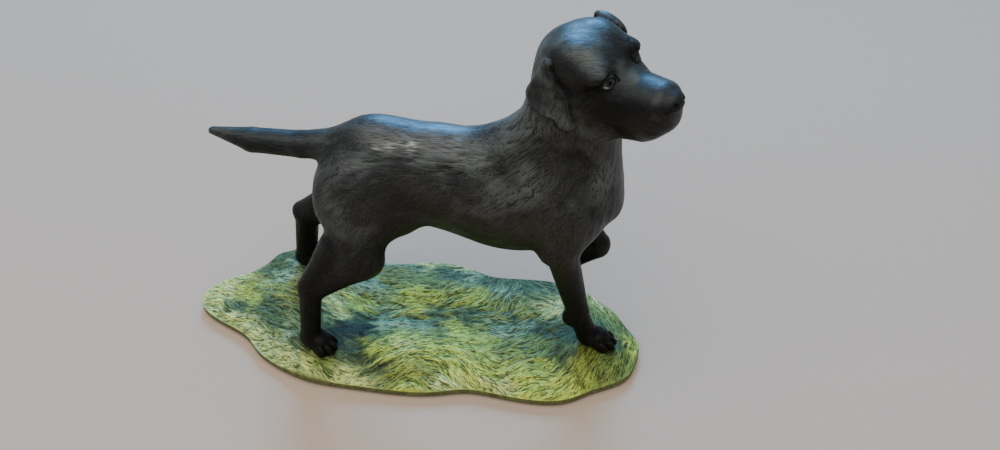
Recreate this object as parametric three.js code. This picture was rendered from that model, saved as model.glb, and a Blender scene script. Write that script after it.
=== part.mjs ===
// Labrador retriever figurine: a dog cast in one piece that stands, with one foreleg
// raised, on a separate casting of rough grass.
// Millimetres, +Z up, +X towards the dog's head, +Y to the dog's left.
// The origin is the middle of the base's flat underside.

import * as THREE from 'three';

// Driving sizes.

// The dog: height of the crown above the soles. The pose below is drawn in shares of
// this height, of which there are poseShares.
const figureHeight = 240;
const poseShares = 240;
const figureScale = figureHeight / poseShares;

// The grass base: its length and width, the height of the ground that the paws
// stand on, the height of the rim, and how far the underside steps in.
const baseLength = 318;
const baseWidth = 122;
const groundHeight = 14;
const rimHeight = 6.5;
const footHeight = 2.4;
const footInset = 2.2;

// How the dog sits on the base: the place of the middle of its paws, the flat ground
// kept round each paw, how far it takes the ground to level off beside it and how
// steeply a bank may rise there, and the hairline gap under the soles.
const pawsForward = 28.5;
const pawsLeft = 3;
const padRadius = 16;
const padSlope = 14;
const bankSlope = 0.4;
const seatGap = 0.3;

// Fineness of the faceted solids.
const formStep = 2.5;
const dogTriangles = 7400;
const baseColumns = 44;
const baseRows = 21;

// Solid forms as distance functions.

// Smooth union: the two surfaces flow into each other over a width of about k.
function smoothMin(a, b, k) {
  const h = Math.min(1, Math.max(0, 0.5 + 0.5 * (b - a) / k));
  return b + (a - b) * h - k * h * (1 - h);
}

function smoothMax(a, b, k) {
  return -smoothMin(-a, -b, k);
}

// The three axes, one after the other, of a frame with this heading (about Z), pitch
// (nose up) and roll, in degrees.
function frameAxes([heading, pitch, roll]) {
  const degrees = Math.PI / 180;
  const turn = new THREE.Matrix4().makeRotationZ(heading * degrees);
  turn.multiply(new THREE.Matrix4().makeRotationY(-pitch * degrees));
  turn.multiply(new THREE.Matrix4().makeRotationX(roll * degrees));
  return new THREE.Matrix3().setFromMatrix4(turn).elements;
}

// A frame: world point to local point, divided by the frame's scale.
function frameAt([cx, cy, cz], turn, scale = 1) {
  const e = frameAxes(turn);
  const local = [0, 0, 0];
  return (x, y, z) => {
    const dx = x - cx;
    const dy = y - cy;
    const dz = z - cz;
    local[0] = (e[0] * dx + e[1] * dy + e[2] * dz) / scale;
    local[1] = (e[3] * dx + e[4] * dy + e[5] * dz) / scale;
    local[2] = (e[6] * dx + e[7] * dy + e[8] * dz) / scale;
    return local;
  };
}

// An egg of muscle or bone: an ellipsoid with half-axes [rx, ry, rz].
function ball(center, [rx, ry, rz], turn = [0, 0, 0]) {
  const into = frameAt(center, turn);
  return (x, y, z) => {
    const p = into(x, y, z);
    const near = Math.hypot(p[0] / rx, p[1] / ry, p[2] / rz);
    const steep = Math.hypot(p[0] / (rx * rx), p[1] / (ry * ry), p[2] / (rz * rz));
    return near * (near - 1) / Math.max(steep, 1e-9);
  };
}

// A limb: a round bar from one point to another whose radius tapers, made wider or
// narrower across the body by the factor wide.
function limb([ax, ay, az], [bx, by, bz], ra, rb, wide = 1) {
  const sx = bx - ax;
  const sy = (by - ay) / wide;
  const sz = bz - az;
  const length2 = sx * sx + sy * sy + sz * sz;
  return (x, y, z) => {
    const px = x - ax;
    const py = (y - ay) / wide;
    const pz = z - az;
    const t = Math.min(1, Math.max(0, (px * sx + py * sy + pz * sz) / length2));
    const away = Math.hypot(px - t * sx, py - t * sy, pz - t * sz);
    return (away - (ra + (rb - ra) * t)) * Math.min(1, wide);
  };
}

// A growing form: each further shape is blended on over a width k.
function form(first) {
  let shape = first;
  const made = (x, y, z) => shape(x, y, z);
  made.add = (k, other) => {
    const before = shape;
    shape = (x, y, z) => smoothMin(before(x, y, z), other(x, y, z), k);
    return made;
  };
  return made;
}

// The dog, in its own frame: soles at z = 0, nose towards +X.

// Where each paw stands: middle of the foot, heading and size.
const paws = {
  nearHind: { at: [-96, -39.5, 0], heading: -24, size: 1.0 },
  farHind: { at: [-119.5, 38.5, 0], heading: 4, size: 1.0 },
  nearFore: { at: [91, -13, 0], heading: -14, size: 0.98 },
};
const raisedPaw = { at: [64.5, 20, 50.6], heading: 0, size: 0.86, pitch: -150 };
const standingPaws = [paws.nearHind, paws.farHind, paws.nearFore];

// The toes: how far across and forward of the foot's middle, and their thickness.
const toes = [
  { across: -5.9, forward: 5.6, thick: 3.3 },
  { across: -2.1, forward: 9, thick: 3.5 },
  { across: 2.1, forward: 9, thick: 3.5 },
  { across: 5.9, forward: 5.6, thick: 3.3 },
];

// A paw: the foot's body with four toes, the middle two further forward.
function paw({ at, heading, size, pitch = 0 }) {
  const foot = form(ball([0, 0, 7], [10.5, 8.2, 7]));
  foot.add(3, ball([-6, 0, 6.5], [7.5, 7, 7.5]));
  for (const { across, forward, thick } of toes) {
    foot.add(0.9, ball([forward, across, 4.4], [6, thick * 0.86, 4.5], [across * 1.5, -8, 0]));
  }
  const into = frameAt(at, [heading, pitch, 0], size);
  return (x, y, z) => {
    const p = into(x, y, z);
    return foot(p[0], p[1], p[2]) * size;
  };
}

function torsoForm() {
  const torso = form(ball([32, 0, 120], [55, 28, 42], [0, -2, 0])); // rib cage
  torso.add(12, ball([-16, 0, 128.8], [54, 24.5, 36.6], [0, 1, 0])); // loin
  torso.add(10, ball([-50, 0, 136], [33, 22, 32.5], [0, 2, 0])); // pelvis
  torso.add(10, ball([68, 0, 126], [26, 25, 34], [0, 14, 0])); // chest
  torso.add(8, ball([81, 0, 133], [12, 15, 26], [0, 2, 0])); // breast
  torso.add(9, ball([89, 0, 123], [10, 14, 13], [0, 25, 0])); // point of the breast
  torso.add(12, ball([35, 0, 161], [29, 15, 14], [0, 22, 0])); // withers
  for (const side of [-1, 1]) {
    torso.add(8, ball([58, 17 * side, 136], [17, 12, 30], [0, 20, 0])); // shoulder blade
    torso.add(7, ball([74, 14 * side, 112], [13, 12, 18], [0, -22, 0])); // point of the shoulder
    torso.add(10, ball([-68, 12 * side, 124], [20, 12, 24])); // rump
    torso.add(14, ball([-62, 19.5 * side, 115], [24, 12, 30], [0, 8, 0])); // thigh
    torso.add(12, ball([-39, 18 * side, 109], [14, 8, 15], [0, -25, 0])); // flank
  }
  return torso;
}

function neckForm() {
  const neck = form(limb([54, 0, 149], [62.5, -2, 202], 26, 21, 0.9));
  neck.add(10, limb([79.5, 0, 140], [79, -3, 196], 17, 15, 1.15)); // throat
  return neck;
}

function tailForm() {
  const tail = form(limb([-70, 0, 147.5], [-98, 0, 144.6], 11, 8.5));
  tail.add(1.5, limb([-98, 0, 144.6], [-130, 0.4, 144.6], 8.5, 7.8));
  tail.add(1.5, limb([-130, 0.4, 144.6], [-154.5, 1, 149], 7.8, 2.6));
  return tail;
}

function nearHindForm() {
  const leg = form(limb([-64, -23, 112], [-61, -31, 84], 20, 14, 0.68)); // knee
  leg.add(9, limb([-61, -32, 80], [-94, -34, 51], 12.5, 8, 0.82)); // second thigh
  leg.add(7, limb([-80, -28, 88], [-98, -34, 56], 7.5, 4.6)); // hock tendon
  leg.add(3, limb([-96.5, -35, 47], [-100, -38.5, 12], 7.4, 6.6, 0.92)); // hind pastern
  leg.add(3, ball([-99, -34.5, 51], [4.6, 5, 6.5])); // point of the hock
  leg.add(3, paw(paws.nearHind));
  return leg;
}

function farHindForm() {
  const leg = form(limb([-66, 22, 114], [-70, 30, 86], 20, 14, 0.68));
  leg.add(8, limb([-70, 31, 79], [-114, 36, 51], 12, 8.6, 0.82));
  leg.add(7, limb([-87, 28, 86], [-121, 36, 55], 7.5, 5.4));
  leg.add(3, limb([-118, 36.5, 49], [-123.5, 38, 12], 8.4, 7.8, 0.92));
  leg.add(3, ball([-122, 36.5, 53], [5.2, 5, 6.5]));
  leg.add(3, paw(paws.farHind));
  return leg;
}

function nearForeForm() {
  const leg = form(limb([66, -19, 124], [63, -22, 98], 17, 11.5, 0.72)); // upper arm
  leg.add(5, limb([64.5, -22, 96], [77.5, -15, 34], 10.7, 7.4, 0.9)); // forearm
  leg.add(4, ball([57, -23, 93], [5.5, 5.5, 7])); // elbow
  leg.add(3, ball([73.5, -15, 27], [6, 6, 6.5])); // back of the wrist
  leg.add(3, limb([77.5, -15, 32], [84, -13, 12], 7.4, 7, 0.95)); // pastern
  leg.add(3, paw(paws.nearFore));
  return leg;
}

function raisedForeForm() {
  const leg = form(limb([66, 19, 124], [67, 22, 98], 17, 11.5, 0.72));
  leg.add(5, limb([67, 22, 94], [87, 21, 64], 10, 7.4, 0.9));
  leg.add(3, ball([88.5, 21, 61], [7, 7.2, 7.5]));
  leg.add(3, limb([87, 21, 58], [72, 20, 48], 7, 6.6)); // folded pastern
  leg.add(3, paw(raisedPaw));
  return leg;
}

// The head has a frame of its own between the eyes, turned towards the dog's right.
const headPlace = [81.5, -5.3, 212.7];
const headTurn = [-33, 11, 6];
const headSize = 0.93;

function headForm() {
  const head = form(ball([-17, 0, 7], [26, 24.6, 24.2])); // skull
  head.add(8, ball([-1, 0, 11.5], [18, 22, 15], [0, -20, 0])); // forehead
  head.add(6, ball([10, 0, 2], [15, 13, 11])); // stop
  head.add(7, limb([6, 0, -4], [39.5, 0, -4.5], 14, 10.8, 1.32)); // muzzle
  head.add(5, ball([34, 0, -13.5], [16, 15.5, 13.8])); // lips
  head.add(7, limb([27, 0, -23.5], [-6, 0, -26], 10.5, 12, 1.3)); // lower jaw
  for (const side of [-1, 1]) {
    head.add(6, ball([-10.5, 11.5 * side, 15.3], [19, 13.5, 15])); // crown
    head.add(7, ball([-5, 15 * side, -9], [17, 10, 15])); // cheek
    head.add(6, ball([15, 10 * side, -11], [14, 7.5, 12])); // cheek to lips
    head.add(5, ball([12, 11.2 * side, 1], [9, 7, 9])); // below the eye
    head.add(5, ball([8.5, 15.6 * side, 15.4], [8, 8, 5], [0, 0, -20 * side])); // brow
    head.add(4, ball([30, 9 * side, -15], [14, 8, 12], [0, -8, 0])); // hanging lip
    head.add(1.2, ball([13.4, 13.2 * side, 10.3], [5, 5, 5])); // eye in its lids
  }
  head.add(2, ball([46.8, 0, -3.5], [7, 8.6, 6.5])); // nose
  head.add(10, ball([-24, 0, -14], [19, 18.5, 19])); // nape
  return head;
}

// Distance in the head's side view to a bar that tapers between two points.
function sideBar(x, z, [ax, az], [bx, bz], ra, rb) {
  const sx = bx - ax;
  const sz = bz - az;
  const t = Math.min(1, Math.max(0, ((x - ax) * sx + (z - az) * sz) / (sx * sx + sz * sz)));
  return Math.hypot(x - ax - t * sx, z - az - t * sz) - (ra + (rb - ra) * t);
}

// An ear lies on the head like a thick leaf: inside a three-cornered outline the surface
// of the head is raised by the ear's thickness, which is greater along the front edge
// and along the fold of the rear lobe. Places are in the head's side view.
const earShift = { near: [0, 0], far: [4.5, 1] };
const earRoot = [-19.5, 20];
const earFront = [-12.5, 1];
const earTip = [-9.5, -16];
const earMiddle = [-18, -2];
const earRear = [-32.5, -1.5];
const earFold = [[-35, 0], [-27, -5.5], [-15.5, -10]];
const earThickness = 2.8;
const farEarRoot = ball([-8.8, 25, 21.2], [12, 4.6, 5.4], [0, -27, 0]);

function earOnHead(px, py, pz, side, surface) {
  const [shiftX, shiftZ] = side < 0 ? earShift.near : earShift.far;
  const x = px - shiftX;
  const z = pz - shiftZ;
  const front = smoothMin(
    sideBar(x, z, earRoot, earFront, 3.2, 6),
    sideBar(x, z, earFront, earTip, 6, 5),
    3,
  );
  const rear = sideBar(x, z, earRoot, earRear, 3.2, 5.5);
  const middle = sideBar(x, z, earRoot, earMiddle, 3.2, 8.5);
  const low = sideBar(x, z, earRear, earMiddle, 5.5, 8.5);
  const outline = smoothMin(smoothMin(front, rear, 2), smoothMin(middle, low, 2), 2);
  const fold = Math.min(
    sideBar(x, z, earFold[0], earFold[1], 0, 0),
    sideBar(x, z, earFold[1], earFold[2], 0, 0),
  );
  let thickness = earThickness + 0.2 * Math.exp(-(((front + 1.2) / 1.2) ** 2));
  thickness += Math.exp(-((fold / 2.2) ** 2));
  thickness -= 0.8 * Math.exp(-((x + 21) ** 2 + (z - 3) ** 2) / 50);
  const leaf = smoothMax(smoothMax(surface - thickness, outline, 1.8), 9 - py * side, 2);
  return side < 0 ? leaf : smoothMin(leaf, farEarRoot(px, py, pz), 3.5);
}

// The whole dog, cut off flat at the soles.
function dogForm() {
  const torso = torsoForm();
  const tail = tailForm();
  const neck = neckForm();
  const head = headForm();
  const intoHead = frameAt(headPlace, headTurn, headSize);
  const legs = [nearHindForm(), farHindForm(), nearForeForm(), raisedForeForm()];
  return (x, y, z) => {
    let body = smoothMin(torso(x, y, z), tail(x, y, z), 6);
    body = smoothMin(body, neck(x, y, z), 12);
    const [hx, hy, hz] = intoHead(x, y, z);
    body = smoothMin(body, head(hx, hy, hz) * headSize, 7);
    let ears = 1e3;
    if (z > 150) {
      const surface = body / headSize;
      ears = Math.min(earOnHead(hx, hy, hz, -1, surface), earOnHead(hx, hy, hz, 1, surface)) * headSize;
    }
    for (const leg of legs) {
      body = smoothMin(body, leg(x, y, z), 9);
    }
    body = smoothMin(body, ears, 0.8);
    return Math.max(body, -z);
  };
}

// From a distance function to a closed, faceted solid.

// Samples the form on a grid. Blocks far from the surface take their middle value.
function sampleForm(shape, low, high, step) {
  const block = 4;
  const count = low.map((v, i) => Math.ceil((high[i] - v) / (step * block)) * block + 1);
  const [nx, ny, nz] = count;
  const values = new Float32Array(nx * ny * nz);
  const reach = step * block * 1.6;
  const sample = (i, j, k) => shape(low[0] + i * step, low[1] + j * step, low[2] + k * step);
  for (let i = 0; i < nx; i += block) {
    for (let j = 0; j < ny; j += block) {
      for (let k = 0; k < nz; k += block) {
        const half = block / 2;
        const middle = sample(i + half, j + half, k + half);
        const far = Math.abs(middle) > reach;
        for (let a = i; a < Math.min(i + block, nx); a += 1) {
          for (let b = j; b < Math.min(j + block, ny); b += 1) {
            for (let c = k; c < Math.min(k + block, nz); c += 1) {
              values[(a * ny + b) * nz + c] = far ? middle : sample(a, b, c);
            }
          }
        }
      }
    }
  }
  return { values, count };
}

// True where the marked corners of a grid cell hang together along its edges.
function hangTogether(marked) {
  const first = marked.indexOf(true);
  const reached = new Set([first]);
  for (const corner of reached) {
    for (const axis of [1, 2, 4]) {
      if (marked[corner ^ axis]) reached.add(corner ^ axis);
    }
  }
  return reached.size === marked.filter((m) => m).length;
}

// Where two parts of the surface pass through one cell, its nearest outer corner is
// taken into the form, so the surface stays a plain skin with no pinched edge.
function openPinches({ values, count }) {
  const [nx, ny, nz] = count;
  const corner = [0, 1, 2, 3, 4, 5, 6, 7].map((n) => ((n & 1) * ny + ((n >> 1) & 1)) * nz + (n >> 2));
  for (let pinches = 1; pinches > 0;) {
    pinches = 0;
    for (let i = 0; i < nx - 1; i += 1) {
      for (let j = 0; j < ny - 1; j += 1) {
        for (let k = 0; k < nz - 1; k += 1) {
          const at = (i * ny + j) * nz + k;
          const inside = corner.map((c) => values[at + c] < 0);
          if (inside.includes(true) && inside.includes(false)) {
            if (!hangTogether(inside) || !hangTogether(inside.map((m) => !m))) {
              const outer = corner.filter((c, n) => !inside[n]);
              const nearest = outer.reduce((m, c) => (values[at + c] < values[at + m] ? c : m));
              values[at + nearest] = -0.02;
              pinches += 1;
            }
          }
        }
      }
    }
  }
}

// Surface nets: one point in each cell that the surface passes through, joined by
// two triangles across each grid edge that it crosses.
function netSurface({ values, count }, low, step) {
  const [nx, ny, nz] = count;
  const at = (i, j, k) => values[(i * ny + j) * nz + k];
  const corners = [[0, 0, 0], [1, 0, 0], [0, 1, 0], [1, 1, 0], [0, 0, 1], [1, 0, 1], [0, 1, 1], [1, 1, 1]];
  const edges = [
    [0, 1], [2, 3], [4, 5], [6, 7], [0, 2], [1, 3], [4, 6], [5, 7], [0, 4], [1, 5], [2, 6], [3, 7],
  ];
  const pointOf = new Int32Array(nx * ny * nz).fill(-1);
  const points = [];
  for (let i = 0; i < nx - 1; i += 1) {
    for (let j = 0; j < ny - 1; j += 1) {
      for (let k = 0; k < nz - 1; k += 1) {
        const v = corners.map(([a, b, c]) => at(i + a, j + b, k + c));
        const sum = [0, 0, 0];
        let crossings = 0;
        for (const [p, q] of edges) {
          if (v[p] < 0 !== v[q] < 0) {
            const t = v[p] / (v[p] - v[q]);
            for (let axis = 0; axis < 3; axis += 1) {
              sum[axis] += corners[p][axis] + t * (corners[q][axis] - corners[p][axis]);
            }
            crossings += 1;
          }
        }
        if (crossings > 0) {
          pointOf[(i * ny + j) * nz + k] = points.length;
          points.push([
            low[0] + (i + sum[0] / crossings) * step,
            low[1] + (j + sum[1] / crossings) * step,
            low[2] + (k + sum[2] / crossings) * step,
          ]);
        }
      }
    }
  }
  const triangles = [];
  const cell = (i, j, k) => pointOf[(i * ny + j) * nz + k];
  const quad = (inside, a, b, c, d) => {
    const ring = inside ? [a, b, c, d] : [d, c, b, a];
    const across = (p, q) => Math.hypot(...points[p].map((v, n) => v - points[q][n]));
    if (across(ring[0], ring[2]) < across(ring[1], ring[3])) {
      triangles.push([ring[0], ring[1], ring[2]], [ring[0], ring[2], ring[3]]);
    } else {
      triangles.push([ring[1], ring[2], ring[3]], [ring[1], ring[3], ring[0]]);
    }
  };
  for (let i = 1; i < nx - 1; i += 1) {
    for (let j = 1; j < ny - 1; j += 1) {
      for (let k = 1; k < nz - 1; k += 1) {
        const inside = at(i, j, k) < 0;
        if (inside !== at(i + 1, j, k) < 0) {
          quad(inside, cell(i, j - 1, k - 1), cell(i, j, k - 1), cell(i, j, k), cell(i, j - 1, k));
        }
        if (inside !== at(i, j + 1, k) < 0) {
          quad(inside, cell(i - 1, j, k - 1), cell(i - 1, j, k), cell(i, j, k), cell(i, j, k - 1));
        }
        if (inside !== at(i, j, k + 1) < 0) {
          quad(inside, cell(i - 1, j - 1, k), cell(i, j - 1, k), cell(i, j, k), cell(i - 1, j, k));
        }
      }
    }
  }
  return { points, triangles };
}

// Fewer triangles where the surface is plain.

// The squared distance to a plane, held as the ten numbers of a symmetric form.
function addPlane(quadric, [a, b, c], d, weight) {
  const plane = [a, b, c, d];
  let n = 0;
  for (let i = 0; i < 4; i += 1) {
    for (let j = i; j < 4; j += 1) {
      quadric[n] += weight * plane[i] * plane[j];
      n += 1;
    }
  }
}

function quadricError(q, [x, y, z]) {
  return q[0] * x * x + 2 * q[1] * x * y + 2 * q[2] * x * z + 2 * q[3] * x
    + q[4] * y * y + 2 * q[5] * y * z + 2 * q[6] * y
    + q[7] * z * z + 2 * q[8] * z + q[9];
}

// The point with the least error, or null where the form has no clear minimum.
function quadricBest(q) {
  const m = new THREE.Matrix3().set(q[0], q[1], q[2], q[1], q[4], q[5], q[2], q[5], q[7]);
  const size = Math.max(q[0], q[4], q[7]);
  if (Math.abs(m.determinant()) < 1e-4 * size ** 3) return null;
  const v = new THREE.Vector3(-q[3], -q[6], -q[8]).applyMatrix3(m.invert());
  return [v.x, v.y, v.z];
}

function normalOf(a, b, c) {
  const u = [b[0] - a[0], b[1] - a[1], b[2] - a[2]];
  const w = [c[0] - a[0], c[1] - a[1], c[2] - a[2]];
  return [u[1] * w[2] - u[2] * w[1], u[2] * w[0] - u[0] * w[2], u[0] * w[1] - u[1] * w[0]];
}

// Smallest-first queue of possible collapses.
class Queue {
  constructor() {
    this.items = [];
  }

  push(item) {
    const { items } = this;
    let i = items.push(item) - 1;
    while (i > 0) {
      const parent = (i - 1) >> 1;
      if (items[parent].cost <= item.cost) break;
      items[i] = items[parent];
      i = parent;
    }
    items[i] = item;
  }

  pop() {
    const { items } = this;
    const top = items[0];
    const last = items.pop();
    if (items.length > 0) {
      let i = 0;
      for (;;) {
        let child = 2 * i + 1;
        if (child >= items.length) break;
        if (child + 1 < items.length && items[child + 1].cost < items[child].cost) child += 1;
        if (items[child].cost >= last.cost) break;
        items[i] = items[child];
        i = child;
      }
      items[i] = last;
    }
    return top;
  }
}

// Collapses the edges that change the surface least until the target is reached.
// A collapse is refused where it would fold a triangle over or pinch the surface.
function reduceSurface({ points, triangles }, target) {
  const quadrics = points.map(() => new Float64Array(10));
  const facesOf = points.map(() => new Set());
  const version = new Int32Array(points.length);
  triangles.forEach((t, index) => {
    const [a, b, c] = t.map((p) => points[p]);
    const n = normalOf(a, b, c);
    const area = Math.hypot(...n);
    if (area > 1e-9) {
      const unit = n.map((v) => v / area);
      const d = -(unit[0] * a[0] + unit[1] * a[1] + unit[2] * a[2]);
      for (const p of t) addPlane(quadrics[p], unit, d, area);
    }
    for (const p of t) facesOf[p].add(index);
  });
  const neighbours = (p) => {
    const around = new Set();
    for (const f of facesOf[p]) for (const q of triangles[f]) if (q !== p) around.add(q);
    return around;
  };
  const queue = new Queue();
  const propose = (p, q) => {
    const sum = quadrics[p].map((v, i) => v + quadrics[q][i]);
    const a = points[p];
    const b = points[q];
    const middle = a.map((v, i) => (v + b[i]) / 2);
    const length = Math.hypot(...a.map((v, i) => v - b[i]));
    let place = quadricBest(sum);
    if (!place || Math.hypot(...place.map((v, i) => v - middle[i])) > length) {
      place = [a, b, middle].reduce((m, v) => (quadricError(sum, v) < quadricError(sum, m) ? v : m));
    }
    const cost = Math.max(0, quadricError(sum, place)) + 1e-4 * length * length;
    queue.push({ cost, p, q, place, sum, stamp: version[p] + version[q] });
  };
  const flips = (keep, gone, place) => {
    for (const f of facesOf[keep]) {
      const t = triangles[f];
      if (t.includes(gone)) continue;
      const before = normalOf(...t.map((v) => points[v]));
      const after = normalOf(...t.map((v) => (v === keep ? place : points[v])));
      const dot = before[0] * after[0] + before[1] * after[1] + before[2] * after[2];
      const size = Math.hypot(...after);
      if (size < 0.02 || dot < 0.35 * Math.hypot(...before) * size) return true;
    }
    return false;
  };
  points.forEach((_, p) => {
    for (const q of neighbours(p)) if (p < q) propose(p, q);
  });
  let left = triangles.length;
  while (left > target && queue.items.length > 0) {
    const { p, q, place, sum, stamp } = queue.pop();
    if (stamp !== version[p] + version[q] || !facesOf[p].size || !facesOf[q].size) continue;
    const aroundP = neighbours(p);
    const aroundQ = neighbours(q);
    const shared = [...aroundP].filter((v) => aroundQ.has(v));
    if (!aroundP.has(q) || shared.length !== 2 || flips(p, q, place) || flips(q, p, place)) continue;
    for (const f of [...facesOf[q]]) {
      const t = triangles[f];
      if (t.includes(p)) {
        for (const v of t) facesOf[v].delete(f);
        triangles[f] = null;
        left -= 1;
      } else {
        triangles[f] = t.map((v) => (v === q ? p : v));
        facesOf[p].add(f);
      }
    }
    facesOf[q].clear();
    points[p] = place;
    quadrics[p] = sum;
    version[p] += 1;
    version[q] += 1;
    for (const v of neighbours(p)) {
      version[v] += 1;
    }
    for (const v of neighbours(p)) {
      for (const w of neighbours(v)) if (w !== p) propose(v, w);
      propose(p, v);
    }
  }
  return { points, triangles: triangles.filter((t) => t) };
}

function meshFrom({ points, triangles }, name, material, place = ([x, y, z]) => [x, y, z]) {
  const used = new Map();
  const positions = [];
  const index = [];
  for (const t of triangles) {
    for (const p of t) {
      if (!used.has(p)) {
        used.set(p, used.size);
        positions.push(...place(points[p]));
      }
      index.push(used.get(p));
    }
  }
  const geometry = new THREE.BufferGeometry();
  geometry.setAttribute('position', new THREE.Float32BufferAttribute(positions, 3));
  geometry.setIndex(index);
  geometry.computeVertexNormals();
  const mesh = new THREE.Mesh(geometry, material);
  mesh.name = name;
  return mesh;
}

// The dog's solid.

const pawMiddle = [
  (paws.nearFore.at[0] + (paws.nearHind.at[0] + paws.farHind.at[0]) / 2) / 2,
  (paws.nearHind.at[1] + paws.farHind.at[1]) / 2,
];
const dogOrigin = [
  pawsForward - (pawMiddle[0] + 0.25) * figureScale,
  pawsLeft - pawMiddle[1] * figureScale,
  groundHeight + seatGap,
];

function dogMesh() {
  const low = [-164, -58, -4.4];
  const high = [142, 58, 256];
  const samples = sampleForm(dogForm(), low, high, formStep);
  openPinches(samples);
  const net = netSurface(samples, low, formStep);
  // The soles are flat: points that the net left close to the sole plane go onto it.
  for (const point of net.points) {
    if (point[2] < 0.4 * formStep) point[2] = 0;
  }
  const solid = reduceSurface(net, dogTriangles);
  const material = new THREE.MeshStandardMaterial({ color: 0x1d1f21, roughness: 0.42, metalness: 0 });
  const place = ([x, y, z]) => [
    x * figureScale + dogOrigin[0],
    y * figureScale + dogOrigin[1],
    Math.max(0, z) * figureScale + dogOrigin[2],
  ];
  return meshFrom(solid, 'dog_figure', material, place);
}

// The grass base.

// Bays and headlands of the outline: direction in degrees, how far out as a share of
// the radius, and how wide in degrees.
const outlineWaves = [
  { at: -150, out: -0.15, wide: 20 },
  { at: -112, out: 0.03, wide: 9 },
  { at: -72, out: -0.08, wide: 9 },
  { at: -54, out: 0.12, wide: 11 },
  { at: -32, out: 0.07, wide: 14 },
  { at: 15, out: -0.04, wide: 14 },
  { at: 50, out: 0.05, wide: 9 },
  { at: 70, out: -0.11, wide: 9 },
  { at: 100, out: -0.09, wide: 10 },
  { at: 125, out: 0.17, wide: 10 },
  { at: 150, out: -0.02, wide: 8 },
];

// Tussocks and hollows of the ground: place as shares of the half length and half
// width, radius in millimetres along and across, height in millimetres.
const tussocks = [
  { at: [0.02, -0.52], reach: [40, 14], rise: 3.6 },
  { at: [0.42, -0.62], reach: [26, 13], rise: 3.0 },
  { at: [-0.3, -0.5], reach: [24, 12], rise: 1.6 },
  { at: [0.12, 0.42], reach: [46, 12], rise: 3.2 },
  { at: [-0.62, 0.1], reach: [26, 16], rise: 2.4 },
  { at: [-0.84, -0.02], reach: [20, 18], rise: -1.0 },
  { at: [0.1, -0.06], reach: [44, 11], rise: -3.4 },
  { at: [-0.22, 0.1], reach: [20, 14], rise: -2.2 },
  { at: [0.7, 0.12], reach: [22, 18], rise: 1.2 },
  { at: [0.5, 0.74], reach: [30, 9], rise: -2.4 },
];

// The outline's radius as a share of the plain ellipse, in a direction given in degrees.
function outlineShare(degrees) {
  let share = 1;
  for (const { at, out, wide } of outlineWaves) {
    const off = ((degrees - at + 540) % 360) - 180;
    share += out * Math.exp(-((off / wide) ** 2));
  }
  return share;
}

// Square grid place (u and v from -1 to 1) to a place inside the outline.
function onBase(u, v, inset = 0) {
  const cx = u * Math.sqrt(1 - v * v / 2);
  const cy = v * Math.sqrt(1 - u * u / 2);
  const share = outlineShare(THREE.MathUtils.radToDeg(Math.atan2(cy, cx)));
  return [cx * share * (baseLength / 2 - inset), cy * share * (baseWidth / 2 - inset), Math.hypot(cx, cy)];
}

// Height of the ground: it falls towards the rim, swells in tussocks, and is level
// under each standing paw.
function groundAt(x, y, out) {
  const fall = out ** 4;
  let height = groundHeight + (rimHeight - groundHeight) * fall;
  for (const { at, reach, rise } of tussocks) {
    const dx = (x - at[0] * baseLength / 2) / reach[0];
    const dy = (y - at[1] * baseWidth / 2) / reach[1];
    height += rise * Math.exp(-dx * dx - dy * dy) * (1 - 0.6 * fall);
  }
  for (const { at } of standingPaws) {
    const away = Math.hypot(x - at[0] * figureScale - dogOrigin[0], y - at[1] * figureScale - dogOrigin[1]);
    const flat = padRadius * figureScale;
    const level = 1 - THREE.MathUtils.smoothstep(away, flat, flat + padSlope);
    height += (groundHeight - height) * level;
    height = Math.min(height, groundHeight + Math.max(0, away - flat - 0.86 * padSlope) * bankSlope);
  }
  return height;
}

function baseMesh() {
  const points = [];
  const triangles = [];
  const top = [];
  for (let i = 0; i <= baseColumns; i += 1) {
    top.push([]);
    for (let j = 0; j <= baseRows; j += 1) {
      const [x, y, out] = onBase(2 * i / baseColumns - 1, 2 * j / baseRows - 1);
      top[i].push(points.push([x, y, groundAt(x, y, out)]) - 1);
    }
  }
  for (let i = 0; i < baseColumns; i += 1) {
    for (let j = 0; j < baseRows; j += 1) {
      const [a, b, c, d] = [top[i][j], top[i + 1][j], top[i + 1][j + 1], top[i][j + 1]];
      // The diagonal runs across the corner of the grid, so no corner folds flat.
      if ((i < baseColumns / 2) === (j < baseRows / 2)) triangles.push([a, b, d], [b, c, d]);
      else triangles.push([a, b, c], [a, c, d]);
    }
  }
  // The rim's ring of grid places, anticlockwise seen from above.
  const ring = [];
  for (let i = 0; i < baseColumns; i += 1) ring.push([i, 0]);
  for (let j = 0; j < baseRows; j += 1) ring.push([baseColumns, j]);
  for (let i = baseColumns; i > 0; i -= 1) ring.push([i, baseRows]);
  for (let j = baseRows; j > 0; j -= 1) ring.push([0, j]);
  const skirt = (inset, height) => ring.map(([i, j]) => {
    const [x, y] = onBase(2 * i / baseColumns - 1, 2 * j / baseRows - 1, inset);
    return points.push([x, y, height]) - 1;
  });
  const rings = [ring.map(([i, j]) => top[i][j]), skirt(0, footHeight), skirt(footInset, 0)];
  for (let r = 0; r < 2; r += 1) {
    for (let n = 0; n < ring.length; n += 1) {
      const next = (n + 1) % ring.length;
      const [a, b, c, d] = [rings[r][n], rings[r][next], rings[r + 1][next], rings[r + 1][n]];
      triangles.push([a, d, b], [b, d, c]);
    }
  }
  const middle = points.push([0, 0, 0]) - 1;
  for (let n = 0; n < ring.length; n += 1) {
    triangles.push([middle, rings[2][(n + 1) % ring.length], rings[2][n]]);
  }
  const material = new THREE.MeshStandardMaterial({ color: 0x77824a, roughness: 0.7, metalness: 0 });
  return meshFrom({ points, triangles }, 'grass_base', material);
}

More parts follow.
